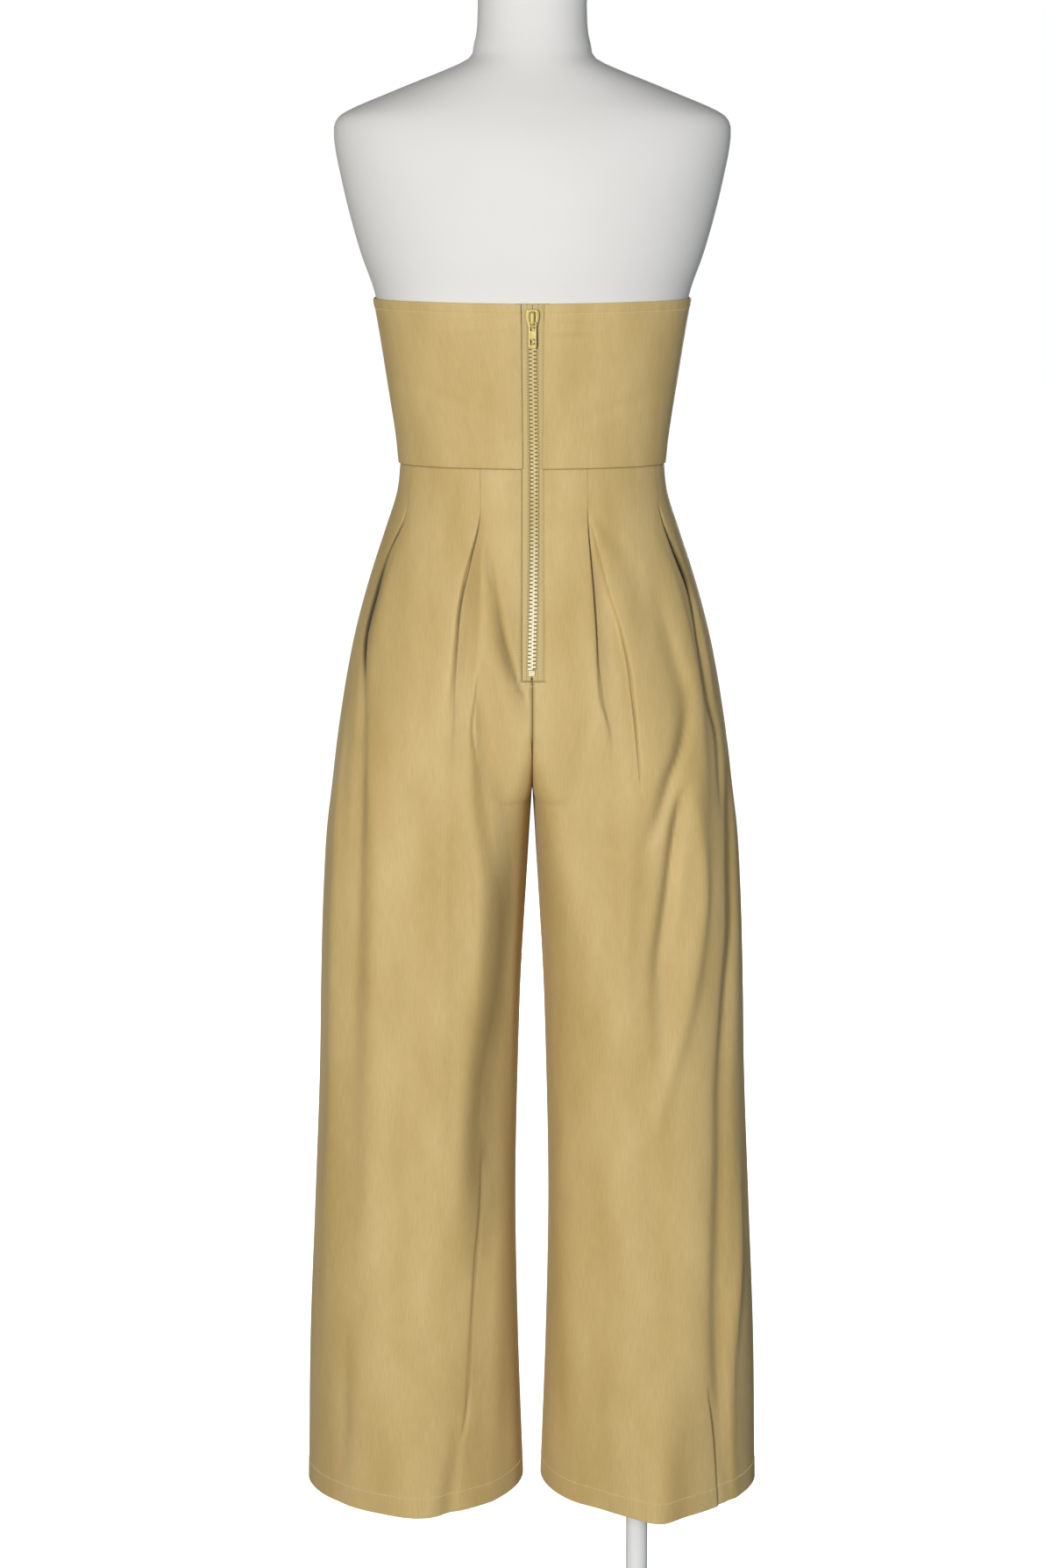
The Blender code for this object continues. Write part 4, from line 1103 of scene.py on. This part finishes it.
def pick(piece, test, kind="FACE"):
    """Selects, in edit mode, the faces, edges or vertices whose middle in millimetres passes the test."""
    bpy.ops.object.mode_set(mode="EDIT")
    bpy.ops.mesh.select_mode(type=kind)
    bpy.ops.mesh.select_all(action="DESELECT")
    bpy.ops.object.mode_set(mode="OBJECT")
    mesh = piece.data
    if kind == "FACE":
        for face in mesh.polygons:
            face.select = bool(test(*(face.center / MM)))
    elif kind == "EDGE":
        for edge in mesh.edges:
            a, b = (mesh.vertices[i].co for i in edge.vertices)
            edge.select = bool(test(*(a / MM), *(b / MM)))
    else:
        for corner in mesh.vertices:
            corner.select = bool(test(*(corner.co / MM)))
    bpy.ops.object.mode_set(mode="EDIT")


def split(axis, places):
    """Cuts the whole edited mesh across an axis at these places."""
    normal = [0.0, 0.0, 0.0]
    normal[axis] = 1.0
    for at in places:
        bpy.ops.mesh.select_all(action="SELECT")
        point = [0.0, 0.0, 0.0]
        point[axis] = at * MM
        bpy.ops.mesh.bisect(plane_co=point, plane_no=normal)


def bevelled(piece, width, segments, angle=30.0):
    """Rounds the piece's sharp edges."""
    bpy.ops.object.mode_set(mode="OBJECT")
    bevel = piece.modifiers.new("edges", "BEVEL")
    bevel.width = width * MM
    bevel.segments = segments
    bevel.angle_limit = math.radians(angle)
    bpy.ops.object.modifier_apply(modifier="edges")


def joined(pieces, name):
    """Joins the pieces into the first one."""
    bpy.ops.object.select_all(action="DESELECT")
    for piece in pieces:
        piece.select_set(True)
    bpy.context.view_layer.objects.active = pieces[0]
    bpy.ops.object.join()
    pieces[0].name = pieces[0].data.name = name
    return pieces[0]


def set_down(piece, x, height, proud):
    """Moves a piece, made round the origin and facing -Y, to a place on the zip."""
    out = Vector(out_of(0.0, height))
    up = Vector((0.0, out.z, -out.y))
    across = Vector((1, 0, 0))
    at = Vector(back_point(0.0, height)) + out * proud
    at.x = x
    frame_of = Matrix((across, -out, up)).transposed().to_4x4()
    frame_of.translation = at * MM
    piece.data.transform(frame_of)


def zip_chain():
    """Moulded teeth, one modelled and copied down both tapes, each gripping its tape's cord."""
    tooth = cube("tooth", TOOTH, (TOOTH_ROOT, -TOOTH[1] / 2, 0.0))
    for step, height_share, out_share in TOOTH_PARTS:
        edge = max(c.co.x for c in tooth.data.vertices) / MM
        pick(tooth, lambda x, y, z, e=edge: x > e - NEAR)
        bpy.ops.mesh.extrude_region_move(TRANSFORM_OT_translate={"value": (step * MM, 0, 0)})
        bpy.ops.transform.resize(value=(1.0, out_share, height_share))
    bevelled(tooth, width=0.2, segments=1)
    bpy.ops.object.shade_smooth_by_angle(angle=math.radians(40))
    teeth = []
    count = int((CHAIN_TOP - CHAIN_BOTTOM) / (TOOTH_PITCH / 2))
    for n in range(count + 1):
        z = CHAIN_BOTTOM + n * TOOTH_PITCH / 2
        copy = bpy.data.objects.new("tooth", tooth.data.copy())
        bpy.context.scene.collection.objects.link(copy)
        if n % 2:
            copy.data.transform(Matrix.Rotation(math.pi, 4, "Y"))
        set_down(copy, drift(z), z, GRIP - TAPE_DEPTH)
        teeth.append(copy)
    bpy.data.objects.remove(tooth)
    return joined(teeth, "zip_chain_teeth")


def zip_stop():
    """The bottom stop, pressed round both cords."""
    stop = cube("zip_stop_block", STOP, (0.0, -STOP[1] / 2, 0.0))
    bpy.ops.object.mode_set(mode="EDIT")
    split(2, (-STOP_FIELD_HALF, STOP_FIELD_HALF))
    pick(stop, lambda x, y, z: y < NEAR - STOP[1] and abs(z) < STOP_FIELD_HALF)
    bpy.ops.mesh.inset(thickness=STOP_FIELD_SLOPE * MM, depth=-STOP_FIELD_DEPTH * MM)
    bevelled(stop, width=0.5, segments=3)
    set_down(stop, drift(STOP_HEIGHT), STOP_HEIGHT, GRIP - TAPE_DEPTH)
    return stop


def zip_slider():
    """Lacquered metal slider: face plate, the two flanges that hold the teeth, and the crown over the
    pull's bar."""
    wide = max(half for _, half in SLIDER_OUTLINE)
    high = SLIDER_OUTLINE[0][0]
    front = -PLATE_LOW - PLATE_THICK
    plate = cube("zip_slider_body", (2 * wide, PLATE_THICK, 2 * high), (0.0, front + PLATE_THICK / 2, 0.0))
    bpy.ops.object.mode_set(mode="EDIT")
    split(2, [up for up, _ in SLIDER_OUTLINE[1:-1]])
    for up, half in SLIDER_OUTLINE:
        pick(plate, lambda x, y, z, at=up: abs(z - at) < NEAR, "VERT")
        bpy.ops.transform.resize(value=(half / wide, 1.0, 1.0))
    split(0, (-WELL_HALF, WELL_HALF))
    well_top, well_foot = SLIDER_OUTLINE[1][0], SLIDER_OUTLINE[-2][0]
    pick(plate, lambda x, y, z: y < front + NEAR and abs(x) < WELL_HALF and well_foot < z < well_top)
    bpy.ops.mesh.inset(thickness=WELL_SLOPE * MM, depth=-WELL_DEPTH * MM)
    bevelled(plate, width=0.5, segments=3)
    parts = [plate]
    foot = FLANGE_MIDDLE[2] - FLANGE[2] / 2
    for side in (-1, 1):
        flange = cube("flange", FLANGE, (side * FLANGE_MIDDLE[0], *FLANGE_MIDDLE[1:]))
        pick(flange, lambda x, y, z: z < foot + NEAR)
        bpy.ops.transform.resize(value=(FLANGE_TAPER, FLANGE_TAPER, 1.0))
        bevelled(flange, width=0.2, segments=2)
        parts.append(flange)
    # the crown: a bent strap from the head of the plate over the bar and down again
    crown = cube("crown", CROWN, (0.0, front - CROWN_OUT, CROWN_FOOT))
    start = front - CROWN_OUT - CROWN[1] / 2
    pick(crown, lambda x, y, z: y < start + NEAR)
    centre = Vector((0.0, start, CROWN_FOOT))
    for step_out, step_up, turn in CROWN_STEPS:
        step = Vector((0.0, -step_out, step_up))
        centre += step
        bpy.ops.mesh.extrude_region_move(TRANSFORM_OT_translate={"value": step * MM})
        if turn:
            bpy.ops.transform.rotate(value=-math.radians(turn), orient_axis="X", center_override=centre * MM)
    bevelled(crown, width=0.3, segments=2, angle=25.0)
    parts.append(crown)
    slider = joined(parts, "zip_slider_body")
    set_down(slider, 0.0, SLIDER_MIDDLE, SLIDER_PROUD)
    return slider


def zip_pull():
    """The pull tab: a flat plate with a window round the crown and a long hole near its end."""
    inside = PULL_HALF - PULL_ARM
    top, end = PULL_BAR / 2, -PULL_LENGTH
    plate = cube("zip_pull_tab", (2 * PULL_HALF, PULL_THICK, top - end), (0.0, 0.0, (top + end) / 2))
    bpy.ops.object.mode_set(mode="EDIT")
    split(2, [-top, -PULL_WINDOW, *(-h for h in PULL_HOLE)])
    split(0, (-inside, inside))
    for high, low in ((-top, -PULL_WINDOW), (-PULL_HOLE[0], -PULL_HOLE[1])):
        pick(plate, lambda x, y, z, a=high, b=low: abs(x) < inside and b < z < a and abs(y) > NEAR)
        bpy.ops.mesh.bridge_edge_loops()
    pick(plate, lambda x, y, z, u, v, w: abs(z - end) < NEAR and abs(w - end) < NEAR
         and abs(abs(x) - PULL_HALF) < NEAR and abs(x - u) < NEAR, "EDGE")
    bpy.ops.mesh.bevel(offset=PULL_CORNER * MM, segments=6, affect="EDGES")
    bevelled(plate, width=0.28, segments=2)
    plate.data.transform(Matrix.Translation(Vector(PULL_PIVOT) * MM))
    return plate


zip_chain_teeth = zip_chain()
zip_stop_block = zip_stop()
zip_slider_body = zip_slider()
zip_pull_tab = zip_pull()
for piece in (zip_stop_block, zip_slider_body, zip_pull_tab):
    bpy.ops.object.select_all(action="DESELECT")
    piece.select_set(True)
    bpy.context.view_layer.objects.active = piece
    bpy.ops.object.shade_smooth_by_angle(angle=math.radians(35))


def tree_of(*pieces):
    """A tree to cast rays at these pieces, in millimetres."""
    points, faces = [], []
    for piece in pieces:
        start = len(points)
        points += [v.co / MM for v in piece.data.vertices]
        faces += [[i + start for i in f.vertices] for f in piece.data.polygons]
    return BVHTree.FromPolygons(points, faces)


def stitches(name, routes):
    """Thread bits along routes; each route is a tree, where its rays start, where they go, its pitch
    and the length of one stitch."""
    points, faces = [], []
    for tree, starts, ways, pitch, length in routes:
        hits = [(place, normal) for place, normal, _, _ in map(tree.ray_cast, starts, ways) if place]
        at = np.array([h[0] for h in hits])
        facing = np.array([h[1] for h in hits])
        arc = np.concatenate([[0.0], np.cumsum(np.linalg.norm(np.diff(at, axis=0), axis=1))])
        for first in np.arange(pitch / 2, arc[-1] - length, pitch):
            spots = [
                np.array([np.interp(first + share * length, arc, at[:, i]) for i in range(3)])
                for share in THREAD_SHARES
            ]
            out = np.array([np.interp(first + length / 2, arc, facing[:, i]) for i in range(3)])
            out /= np.linalg.norm(out)
            along = spots[2] - spots[0]
            if np.linalg.norm(along) < length / 2:
                continue
            aside = np.cross(along / np.linalg.norm(along), out)
            start = len(points)
            for spot, lift, radius in zip(spots, THREAD_LIFT, THREAD_RADII):
                for u, v in ((1, 0), (0, 1), (-1, 0), (0, -1)):
                    points.append((spot + out * (lift + v * radius) + aside * (u * radius)) * MM)
            rings = [[start + r + i for i in range(4)] for r in (0, 4, 8)]
            for low, high in zip(rings, rings[1:]):
                faces += [[low[i], low[(i + 1) % 4], high[(i + 1) % 4], high[i]] for i in range(4)]
            faces += [rings[0][::-1], rings[-1]]
    return made_of(name, [tuple(p) for p in points], faces)


def down_back(x, top, bottom):
    """Ray starts and ways at a line down the back."""
    heights = np.linspace(top, bottom, RAYS_DOWN)
    return [Vector((x, RAYS_BACK, z)) for z in heights], [Vector((0, 1, 0))] * len(heights)


def across_back(left, right, height):
    """Ray starts and ways at a line across the back."""
    places = np.linspace(left, right, RAYS_ACROSS)
    return [Vector((x, RAYS_BACK, height)) for x in places], [Vector((0, 1, 0))] * len(places)


def round_leg(side, drops):
    """Ray starts and ways at the hem stitching of one leg."""
    starts, ways = [], []
    centre = Vector((side * LEG_MIDDLE, 0.0, 0.0))
    for a in np.linspace(0.0, 2 * math.pi, RAYS_LEG):
        way = Vector((-math.sin(a), math.cos(a), 0.0))
        at = centre - way * LEG_RADIUS
        drop = np.interp(abs(at.x), *np.array(drops).T)
        start = centre - way * RAYS_LEG_OUT
        start.z = HEM + HEM_DEPTH - drop
        starts.append(start)
        ways.append(way)
    return starts, ways


def round_top():
    """Ray starts and ways at the stitching below the bodice's top edge."""
    start = RAYS_TOP_START * window
    angles = np.linspace(start, 2 * math.pi - start, RAYS_TOP)
    heights = top_edge(angles) - TOP_STITCH
    rows = [bodice_row(np.array([a]), z)[0] for a, z in zip(angles, heights)]
    starts = [Vector((RAYS_TOP_OUT * x, RAYS_TOP_OUT * y, z)) for x, y, z in rows]
    return starts, [Vector((-x, -y, 0.0)).normalized() for x, y, z in rows]


back_tree = tree_of(bodice_back_left, bodice_back_right, trouser_back_left, trouser_back_right)
bodice_tree = tree_of(bodice_back_left, bodice_back_right, bodice_front)
left_leg_tree = tree_of(trouser_back_left, trouser_front_left)
right_leg_tree = tree_of(trouser_back_right, trouser_front_right)
thread = stitches("edge_stitching", [
    (back_tree, *down_back(WINDOW_STITCH_LEFT, WINDOW_STITCH_TOP, WINDOW_STITCH_END), *WINDOW_STITCH),
    (back_tree, *down_back(WINDOW_STITCH_RIGHT, WINDOW_STITCH_TOP, WINDOW_STITCH_END), *WINDOW_STITCH),
    (back_tree, *across_back(WINDOW_STITCH_LEFT, WINDOW_STITCH_RIGHT, WINDOW_STITCH_END), *WINDOW_STITCH),
    (bodice_tree, *round_top(), *TOP_EDGE_STITCH),
    (left_leg_tree, *round_leg(-1, LEFT_HEM), *HEM_STITCH),
    (right_leg_tree, *round_leg(1, RIGHT_HEM), *HEM_STITCH),
])


def linear(hex_colour):
    """An sRGB hex colour as linear RGBA."""
    parts = [int(hex_colour[i:i + 2], 16) / 255 for i in (1, 3, 5)]
    return [*(p / 12.92 if p <= 0.04045 else ((p + 0.055) / 1.055) ** 2.4 for p in parts), 1.0]


def add(material, kind, inputs=None, **settings):
    """Adds one node with its settings and what feeds it, and gives the node back."""
    node = material.node_tree.nodes.new(kind)
    for name, value in settings.items():
        setattr(node, name, value)
    for name, value in (inputs or {}).items():
        if isinstance(value, bpy.types.NodeSocket):
            material.node_tree.links.new(value, node.inputs[name])
        else:
            node.inputs[name].default_value = value
    return node


def surface(name, **values):
    """A new material and its shader, with these values on the shader's own sockets."""
    material = bpy.data.materials.new(name)
    material.use_nodes = True
    shader = material.node_tree.nodes["Principled BSDF"]
    for socket, value in values.items():
        shader.inputs[socket.replace("_", " ").title().replace("Ior", "IOR")].default_value = value
    return material, shader


def feed(material, shader, **links):
    """Links these outputs to the shader's own sockets."""
    for socket, source in links.items():
        material.node_tree.links.new(source, shader.inputs[socket.replace("_", " ").title()])


def cotton_twill():
    """Cotton twill with a little stretch, piece-dyed khaki mustard: matt, with a faint sheen from its
    brushed face, fine slanting ribs, and a slight unevenness of the yarn."""
    material, shader = surface(
        "cotton_twill", roughness=0.62, specular_ior_level=0.35, sheen_weight=0.22, sheen_roughness=0.45,
        sheen_tint=linear("#F2E6C4"),
    )
    place = add(material, "ShaderNodeUVMap", uv_map="cloth_mm").outputs["UV"]
    # the ribs are 0.6 mm apart on the real cloth, drawn 1.1 mm apart so that they show
    turned = add(material, "ShaderNodeMapping", {"Vector": place, "Rotation": (0, 0, math.radians(58))})
    ribs = add(material, "ShaderNodeTexWave", {"Vector": turned.outputs[0], "Scale": WAVE_OF_PITCH / 1.1,
                                               "Distortion": 0.6, "Detail": 1.0, "Detail Scale": 0.6})
    # thick places in the yarn are about 1.8 mm wide and 15 mm long
    warp = add(material, "ShaderNodeMapping", {"Vector": place, "Scale": (1.0, 0.12, 1.0)})
    slub = add(material, "ShaderNodeTexNoise", {"Vector": warp.outputs[0], "Scale": 0.55, "Detail": 3.0})
    # the dye's clouds are about 45 mm wide and 150 mm long, the soft crumples 29 mm and 95 mm
    crumple = add(material, "ShaderNodeMapping", {"Vector": place, "Scale": (1.0, 0.3, 1.0)})
    cloud = add(material, "ShaderNodeTexNoise", {"Vector": crumple.outputs[0], "Scale": 0.022,
                                                 "Detail": 2.0})
    soft = add(material, "ShaderNodeTexNoise", {"Vector": crumple.outputs[0], "Scale": 0.035,
                                                "Detail": 3.0, "Distortion": 0.8})
    tone = add(material, "ShaderNodeMapRange", {"Value": cloud.outputs[0], "From Min": 0.3, "From Max": 0.7})
    colour = add(material, "ShaderNodeMix", {0: tone.outputs[0], 6: linear("#C4A86A"), 7: linear("#D3B87D")},
                 data_type="RGBA")
    yarn = add(material, "ShaderNodeMapRange", {"Value": slub.outputs[0], "From Min": 0.25, "From Max": 0.75,
                                                "To Min": 0.94, "To Max": 1.05})
    shaded = add(material, "ShaderNodeVectorMath", {0: colour.outputs[2], "Scale": yarn.outputs[0]},
                 operation="SCALE")
    # painted shade: the fold_shade attribute darkens the colour towards near-black in the folds, pleat gaps
    # and seams, where shade falls
    painted_shade_amount = add(material, "ShaderNodeAttribute", attribute_name="fold_shade").outputs["Fac"]
    deep = add(material, "ShaderNodeMix", {0: painted_shade_amount, 6: shaded.outputs[0], 7: linear("#221908")},
               data_type="RGBA")
    weave = add(material, "ShaderNodeBump", {"Height": ribs.outputs["Fac"], "Strength": 0.35,
                                             "Distance": 0.00012})
    grain = add(material, "ShaderNodeBump", {"Height": slub.outputs[0], "Strength": 0.4, "Distance": 0.00025,
                                             "Normal": weave.outputs[0]})
    rumple = add(material, "ShaderNodeBump", {"Height": soft.outputs[0], "Strength": 0.5, "Distance": 0.0012,
                                              "Normal": grain.outputs[0]})
    feed(material, shader, base_color=deep.outputs[2], normal=rumple.outputs[0])
    return material


def worn_jersey():
    """Off-white cotton jersey stretched over a moulded torso: matt and even, with a very fine knit."""
    material, shader = surface("stretched_jersey", roughness=0.8, specular_ior_level=0.3, sheen_weight=0.1)
    place = add(material, "ShaderNodeTexCoord").outputs["Object"]
    # the knit's stitches are about 1.1 mm wide, and its faint clouds 140 mm
    knit = add(material, "ShaderNodeTexNoise", {"Vector": place, "Scale": 900.0, "Detail": 2.0})
    cloud = add(material, "ShaderNodeTexNoise", {"Vector": place, "Scale": 7.0, "Detail": 3.0})
    tone = add(material, "ShaderNodeMapRange", {"Value": cloud.outputs[0], "From Min": 0.3, "From Max": 0.7})
    colour = add(material, "ShaderNodeMix", {0: tone.outputs[0], 6: linear("#E3E1DC"), 7: linear("#E9E7E3")},
                 data_type="RGBA")
    bump = add(material, "ShaderNodeBump", {"Height": knit.outputs[0], "Strength": 0.3, "Distance": 0.0002})
    feed(material, shader, base_color=colour.outputs[2], normal=bump.outputs[0])
    return material


def powder_coat():
    """White powder-coated steel: satin, with a fine orange peel."""
    material, shader = surface("powder_coated_steel", roughness=0.42, base_color=linear("#EDEDEB"))
    place = add(material, "ShaderNodeTexCoord").outputs["Object"]
    # the peel's dimples are about 2.2 mm wide
    peel = add(material, "ShaderNodeTexNoise", {"Vector": place, "Scale": 450.0, "Detail": 1.0})
    bump = add(material, "ShaderNodeBump", {"Height": peel.outputs[0], "Strength": 0.15, "Distance": 0.0002})
    feed(material, shader, normal=bump.outputs[0])
    return material


def pale_board():
    """Birch plywood board with a clear matt lacquer, its grain running across."""
    material, shader = surface("birch_board", roughness=0.5)
    place = add(material, "ShaderNodeTexCoord").outputs["Object"]
    # the grain's streaks are about 4 mm wide and 64 mm long
    along = add(material, "ShaderNodeMapping", {"Vector": place, "Scale": (0.06, 1.0, 1.0)})
    grain = add(material, "ShaderNodeTexNoise", {"Vector": along.outputs[0], "Scale": 260.0, "Detail": 4.0})
    colour = add(material, "ShaderNodeMix",
                 {0: grain.outputs[0], 6: linear("#CDB48C"), 7: linear("#E2CFAC")}, data_type="RGBA")
    feed(material, shader, base_color=colour.outputs[2])
    return material


def woven_tape():
    """Woven polyester tape of the zip, dyed with the cloth: fine cross ribs, and the two dotted rows where
    its cord is stitched in."""
    material, shader = surface("woven_zip_tape", roughness=0.7, specular_ior_level=0.3, sheen_weight=0.1)
    place = add(material, "ShaderNodeUVMap", uv_map="cloth_mm").outputs["UV"]
    # the ribs are 1 mm apart, and the stitches of the two rows 2.6 mm
    ribs = add(material, "ShaderNodeTexWave",
               {"Vector": place, "Scale": WAVE_OF_PITCH / 1.0, "Distortion": 0.3}, bands_direction="Y")
    parts = add(material, "ShaderNodeSeparateXYZ", {"Vector": place})
    away = add(material, "ShaderNodeMath", {0: parts.outputs["X"]}, operation="ABSOLUTE")
    off = add(material, "ShaderNodeMath", {0: away.outputs[0], 1: CORD_STITCHES}, operation="SUBTRACT")
    near = add(material, "ShaderNodeMath", {0: off.outputs[0]}, operation="ABSOLUTE")
    row = add(material, "ShaderNodeMapRange", {"Value": near.outputs[0], "From Min": 0.35, "From Max": 0.6,
                                               "To Min": 1.0, "To Max": 0.0})
    dots = add(material, "ShaderNodeTexWave", {"Vector": place, "Scale": WAVE_OF_PITCH / 2.6},
               bands_direction="Y")
    dotted = add(material, "ShaderNodeMath", {0: row.outputs[0], 1: dots.outputs["Fac"]},
                 operation="MULTIPLY")
    plain = add(material, "ShaderNodeMix",
                {0: ribs.outputs["Fac"], 6: linear("#C3AC73"), 7: linear("#CFBA85")}, data_type="RGBA")
    colour = add(material, "ShaderNodeMix",
                 {0: dotted.outputs[0], 6: plain.outputs[2], 7: linear("#A38C55")}, data_type="RGBA")
    # painted shade: the fold_shade attribute darkens the tape at the gap below the stop and behind the teeth
    painted_shade_amount = add(material, "ShaderNodeAttribute", attribute_name="fold_shade").outputs["Fac"]
    deep = add(material, "ShaderNodeMix", {0: painted_shade_amount, 6: colour.outputs[2], 7: linear("#1C140A")},
               data_type="RGBA")
    bump = add(material, "ShaderNodeBump",
               {"Height": ribs.outputs["Fac"], "Strength": 0.4, "Distance": 0.00015})
    feed(material, shader, base_color=deep.outputs[2], normal=bump.outputs[0])
    return material


def moulded_teeth():
    """Acetal teeth moulded on the tape, dyed a shade paler than the cloth, with a slight gloss."""
    material, shader = surface("moulded_acetal", roughness=0.38, specular_ior_level=0.5)
    place = add(material, "ShaderNodeTexCoord").outputs["Object"]
    parts = add(material, "ShaderNodeSeparateXYZ", {"Vector": place})
    # painted light: the chain is drawn paler below 1.1 m, where its teeth catch more of the light
    low = add(material, "ShaderNodeMapRange",
              {"Value": parts.outputs["Z"], "From Min": 1.2, "From Max": 1.1})
    colour = add(material, "ShaderNodeMix", {0: low.outputs[0], 6: linear("#CDB778"), 7: linear("#EADFB8")},
                 data_type="RGBA")
    feed(material, shader, base_color=colour.outputs[2])
    return material


def painted_metal():
    """Bottom stop pressed from sheet metal, painted in the pale colour of the teeth."""
    material, _ = surface("painted_zip_stop", roughness=0.4, base_color=linear("#EADFB8"))
    return material


def lacquered_brass():
    """Die-cast slider and pull with a greenish gold lacquer, satin from handling."""
    material, shader = surface("lacquered_zip_metal", roughness=0.48, metallic=0.3, specular_ior_level=0.4)
    place = add(material, "ShaderNodeTexCoord").outputs["Object"]
    # the worn patches are about 3 mm wide
    worn = add(material, "ShaderNodeTexNoise", {"Vector": place, "Scale": 300.0, "Detail": 2.0})
    colour = add(material, "ShaderNodeMix", {0: worn.outputs[0], 6: linear("#AE9C55"), 7: linear("#C9BA76")},
                 data_type="RGBA")
    feed(material, shader, base_color=colour.outputs[2])
    return material


def sewing_thread():
    """Polyester core-spun sewing thread, a shade paler than the cloth, with its twist."""
    material, shader = surface("sewing_thread", roughness=0.5, sheen_weight=0.2)
    place = add(material, "ShaderNodeTexCoord").outputs["Object"]
    # the thread's twist comes round about every 0.7 mm
    twist = add(material, "ShaderNodeTexNoise", {"Vector": place, "Scale": 1500.0, "Detail": 1.0})
    colour = add(material, "ShaderNodeMix",
                 {0: twist.outputs[0], 6: linear("#E2D0A2"), 7: linear("#EEE0BC")}, data_type="RGBA")
    feed(material, shader, base_color=colour.outputs[2])
    return material


twill = cotton_twill()
tape_weave = woven_tape()
acetal = moulded_teeth()
brass = lacquered_brass()
stop_paint = painted_metal()
thread_twist = sewing_thread()
jersey = worn_jersey()
paint = powder_coat()
board = pale_board()


def clothe(piece, node, material, body="root"):
    """Gives a piece its material and body, in the place of a CAD node if it has one."""
    piece.data.materials.clear()
    piece.data.materials.append(material)
    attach(piece, body)
    if node:
        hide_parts(node)


for piece in (trouser_back_left, trouser_back_right, trouser_front_left, trouser_front_right,
              bodice_back_left, bodice_back_right, bodice_front):
    clothe(piece, piece.name.removesuffix("_cloth"), twill)


clothe(zip_tape_left, "zip_tape_left", tape_weave)
clothe(zip_tape_right, "zip_tape_right", tape_weave)
clothe(zip_chain_teeth, "zip_chain", acetal)
clothe(zip_stop_block, "zip_stop", stop_paint)
clothe(zip_slider_body, "zip_slider", brass)
clothe(zip_pull_tab, "zip_pull", brass, "pull_tab")
clothe(thread, None, thread_twist)


def torso():
    """The dress form: one smooth closed body through its sections."""
    around = np.linspace(0, 2 * math.pi, FORM_COLUMNS + 1)[:-1]
    low, high = FORM[0][0], FORM[-1][0]
    heights = np.unique(np.concatenate([np.arange(low, high, FORM_STEP), FORM_MORE_ROWS, [high]]))
    points = np.vstack([section(around, z, read(FORM, z)) for z in heights]) * MM
    rings = np.arange(len(points)).reshape(len(heights), FORM_COLUMNS)
    on = np.roll(rings, -1, axis=1)
    faces = np.stack([rings[:-1], on[:-1], on[1:], rings[1:]], axis=2).reshape(-1, 4).tolist()
    faces += [rings[0, ::-1].tolist(), rings[-1].tolist()]
    return made_of("form_torso_jersey", points.tolist(), faces)


form = torso()
clothe(form, "form_torso", jersey)
for name, coat in (("stand_base", paint), ("stand_pole", paint), ("stand_foot_collar", paint),
                   ("stand_top_collar", paint), ("form_bottom_plate", board)):
    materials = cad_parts[name].data.materials
    materials.clear()
    materials.append(coat)

# Floor, light and camera
bpy.ops.object.select_all(action="DESELECT")
bpy.ops.mesh.primitive_plane_add(size=30.0, location=(0, 8.0, 0))
floor = bpy.context.object
floor.name = "studio_floor"
white_floor, _ = surface("white_floor", roughness=0.9, base_color=linear("#F4F4F4"),
                         emission_color=(1.0, 1.0, 1.0, 1.0), emission_strength=1.0)
floor.data.materials.append(white_floor)
floor.visible_diffuse = False
floor.visible_glossy = False


def softbox(name, place, aim, size, power, colour):
    """A rectangular area light at a place, turned to its aim, in metres and watts."""
    bpy.ops.object.light_add(type="AREA", location=place)
    light = bpy.context.object
    light.name = name
    light.data.shape = "RECTANGLE"
    light.data.size, light.data.size_y = size
    light.data.energy = power
    light.data.color = linear(colour)[:3]
    light.rotation_euler = (Vector(aim) - Vector(place)).to_track_quat("-Z", "Y").to_euler()


softbox("key_left", (-0.95, -4.1, 1.5), (0, 0, 0.9), (0.7, 1.6), 142.0, "#FFFFFF")
softbox("fill_right", (2.6, -2.2, 1.6), (0.1, 0, 0.9), (0.8, 1.8), 18.0, "#E4EEFF")
softbox("front_wash", (0.9, 4.1, 1.6), (0, 0, 0.9), (0.9, 1.6), 80.0, "#FFFFFF")

# The backdrop is white to the camera and dim as a light
world = bpy.data.worlds.new("studio")
bpy.context.scene.world = world
world.use_nodes = True
tree = world.node_tree
background = tree.nodes["Background"]
background.inputs["Color"].default_value = (1.0, 1.0, 1.0, 1.0)
path = tree.nodes.new("ShaderNodeLightPath")
strength = tree.nodes.new("ShaderNodeMapRange")
strength.inputs["To Min"].default_value = 0.15
strength.inputs["To Max"].default_value = 1.0
tree.links.new(path.outputs["Is Camera Ray"], strength.inputs["Value"])
tree.links.new(strength.outputs[0], background.inputs["Strength"])

camera = bpy.data.objects.new("camera", bpy.data.cameras.new("camera"))
bpy.context.scene.collection.objects.link(camera)
camera.data.sensor_width = SENSOR
camera.data.lens = FOCAL_PIXELS / PHOTO_HEIGHT * SENSOR
camera.location = CAMERA_PLACE
camera.rotation_euler = (math.radians(90.0 - CAMERA_TILT), 0.0, 0.0)
bpy.context.scene.camera = camera
bpy.context.scene.view_settings.view_transform = "Standard"
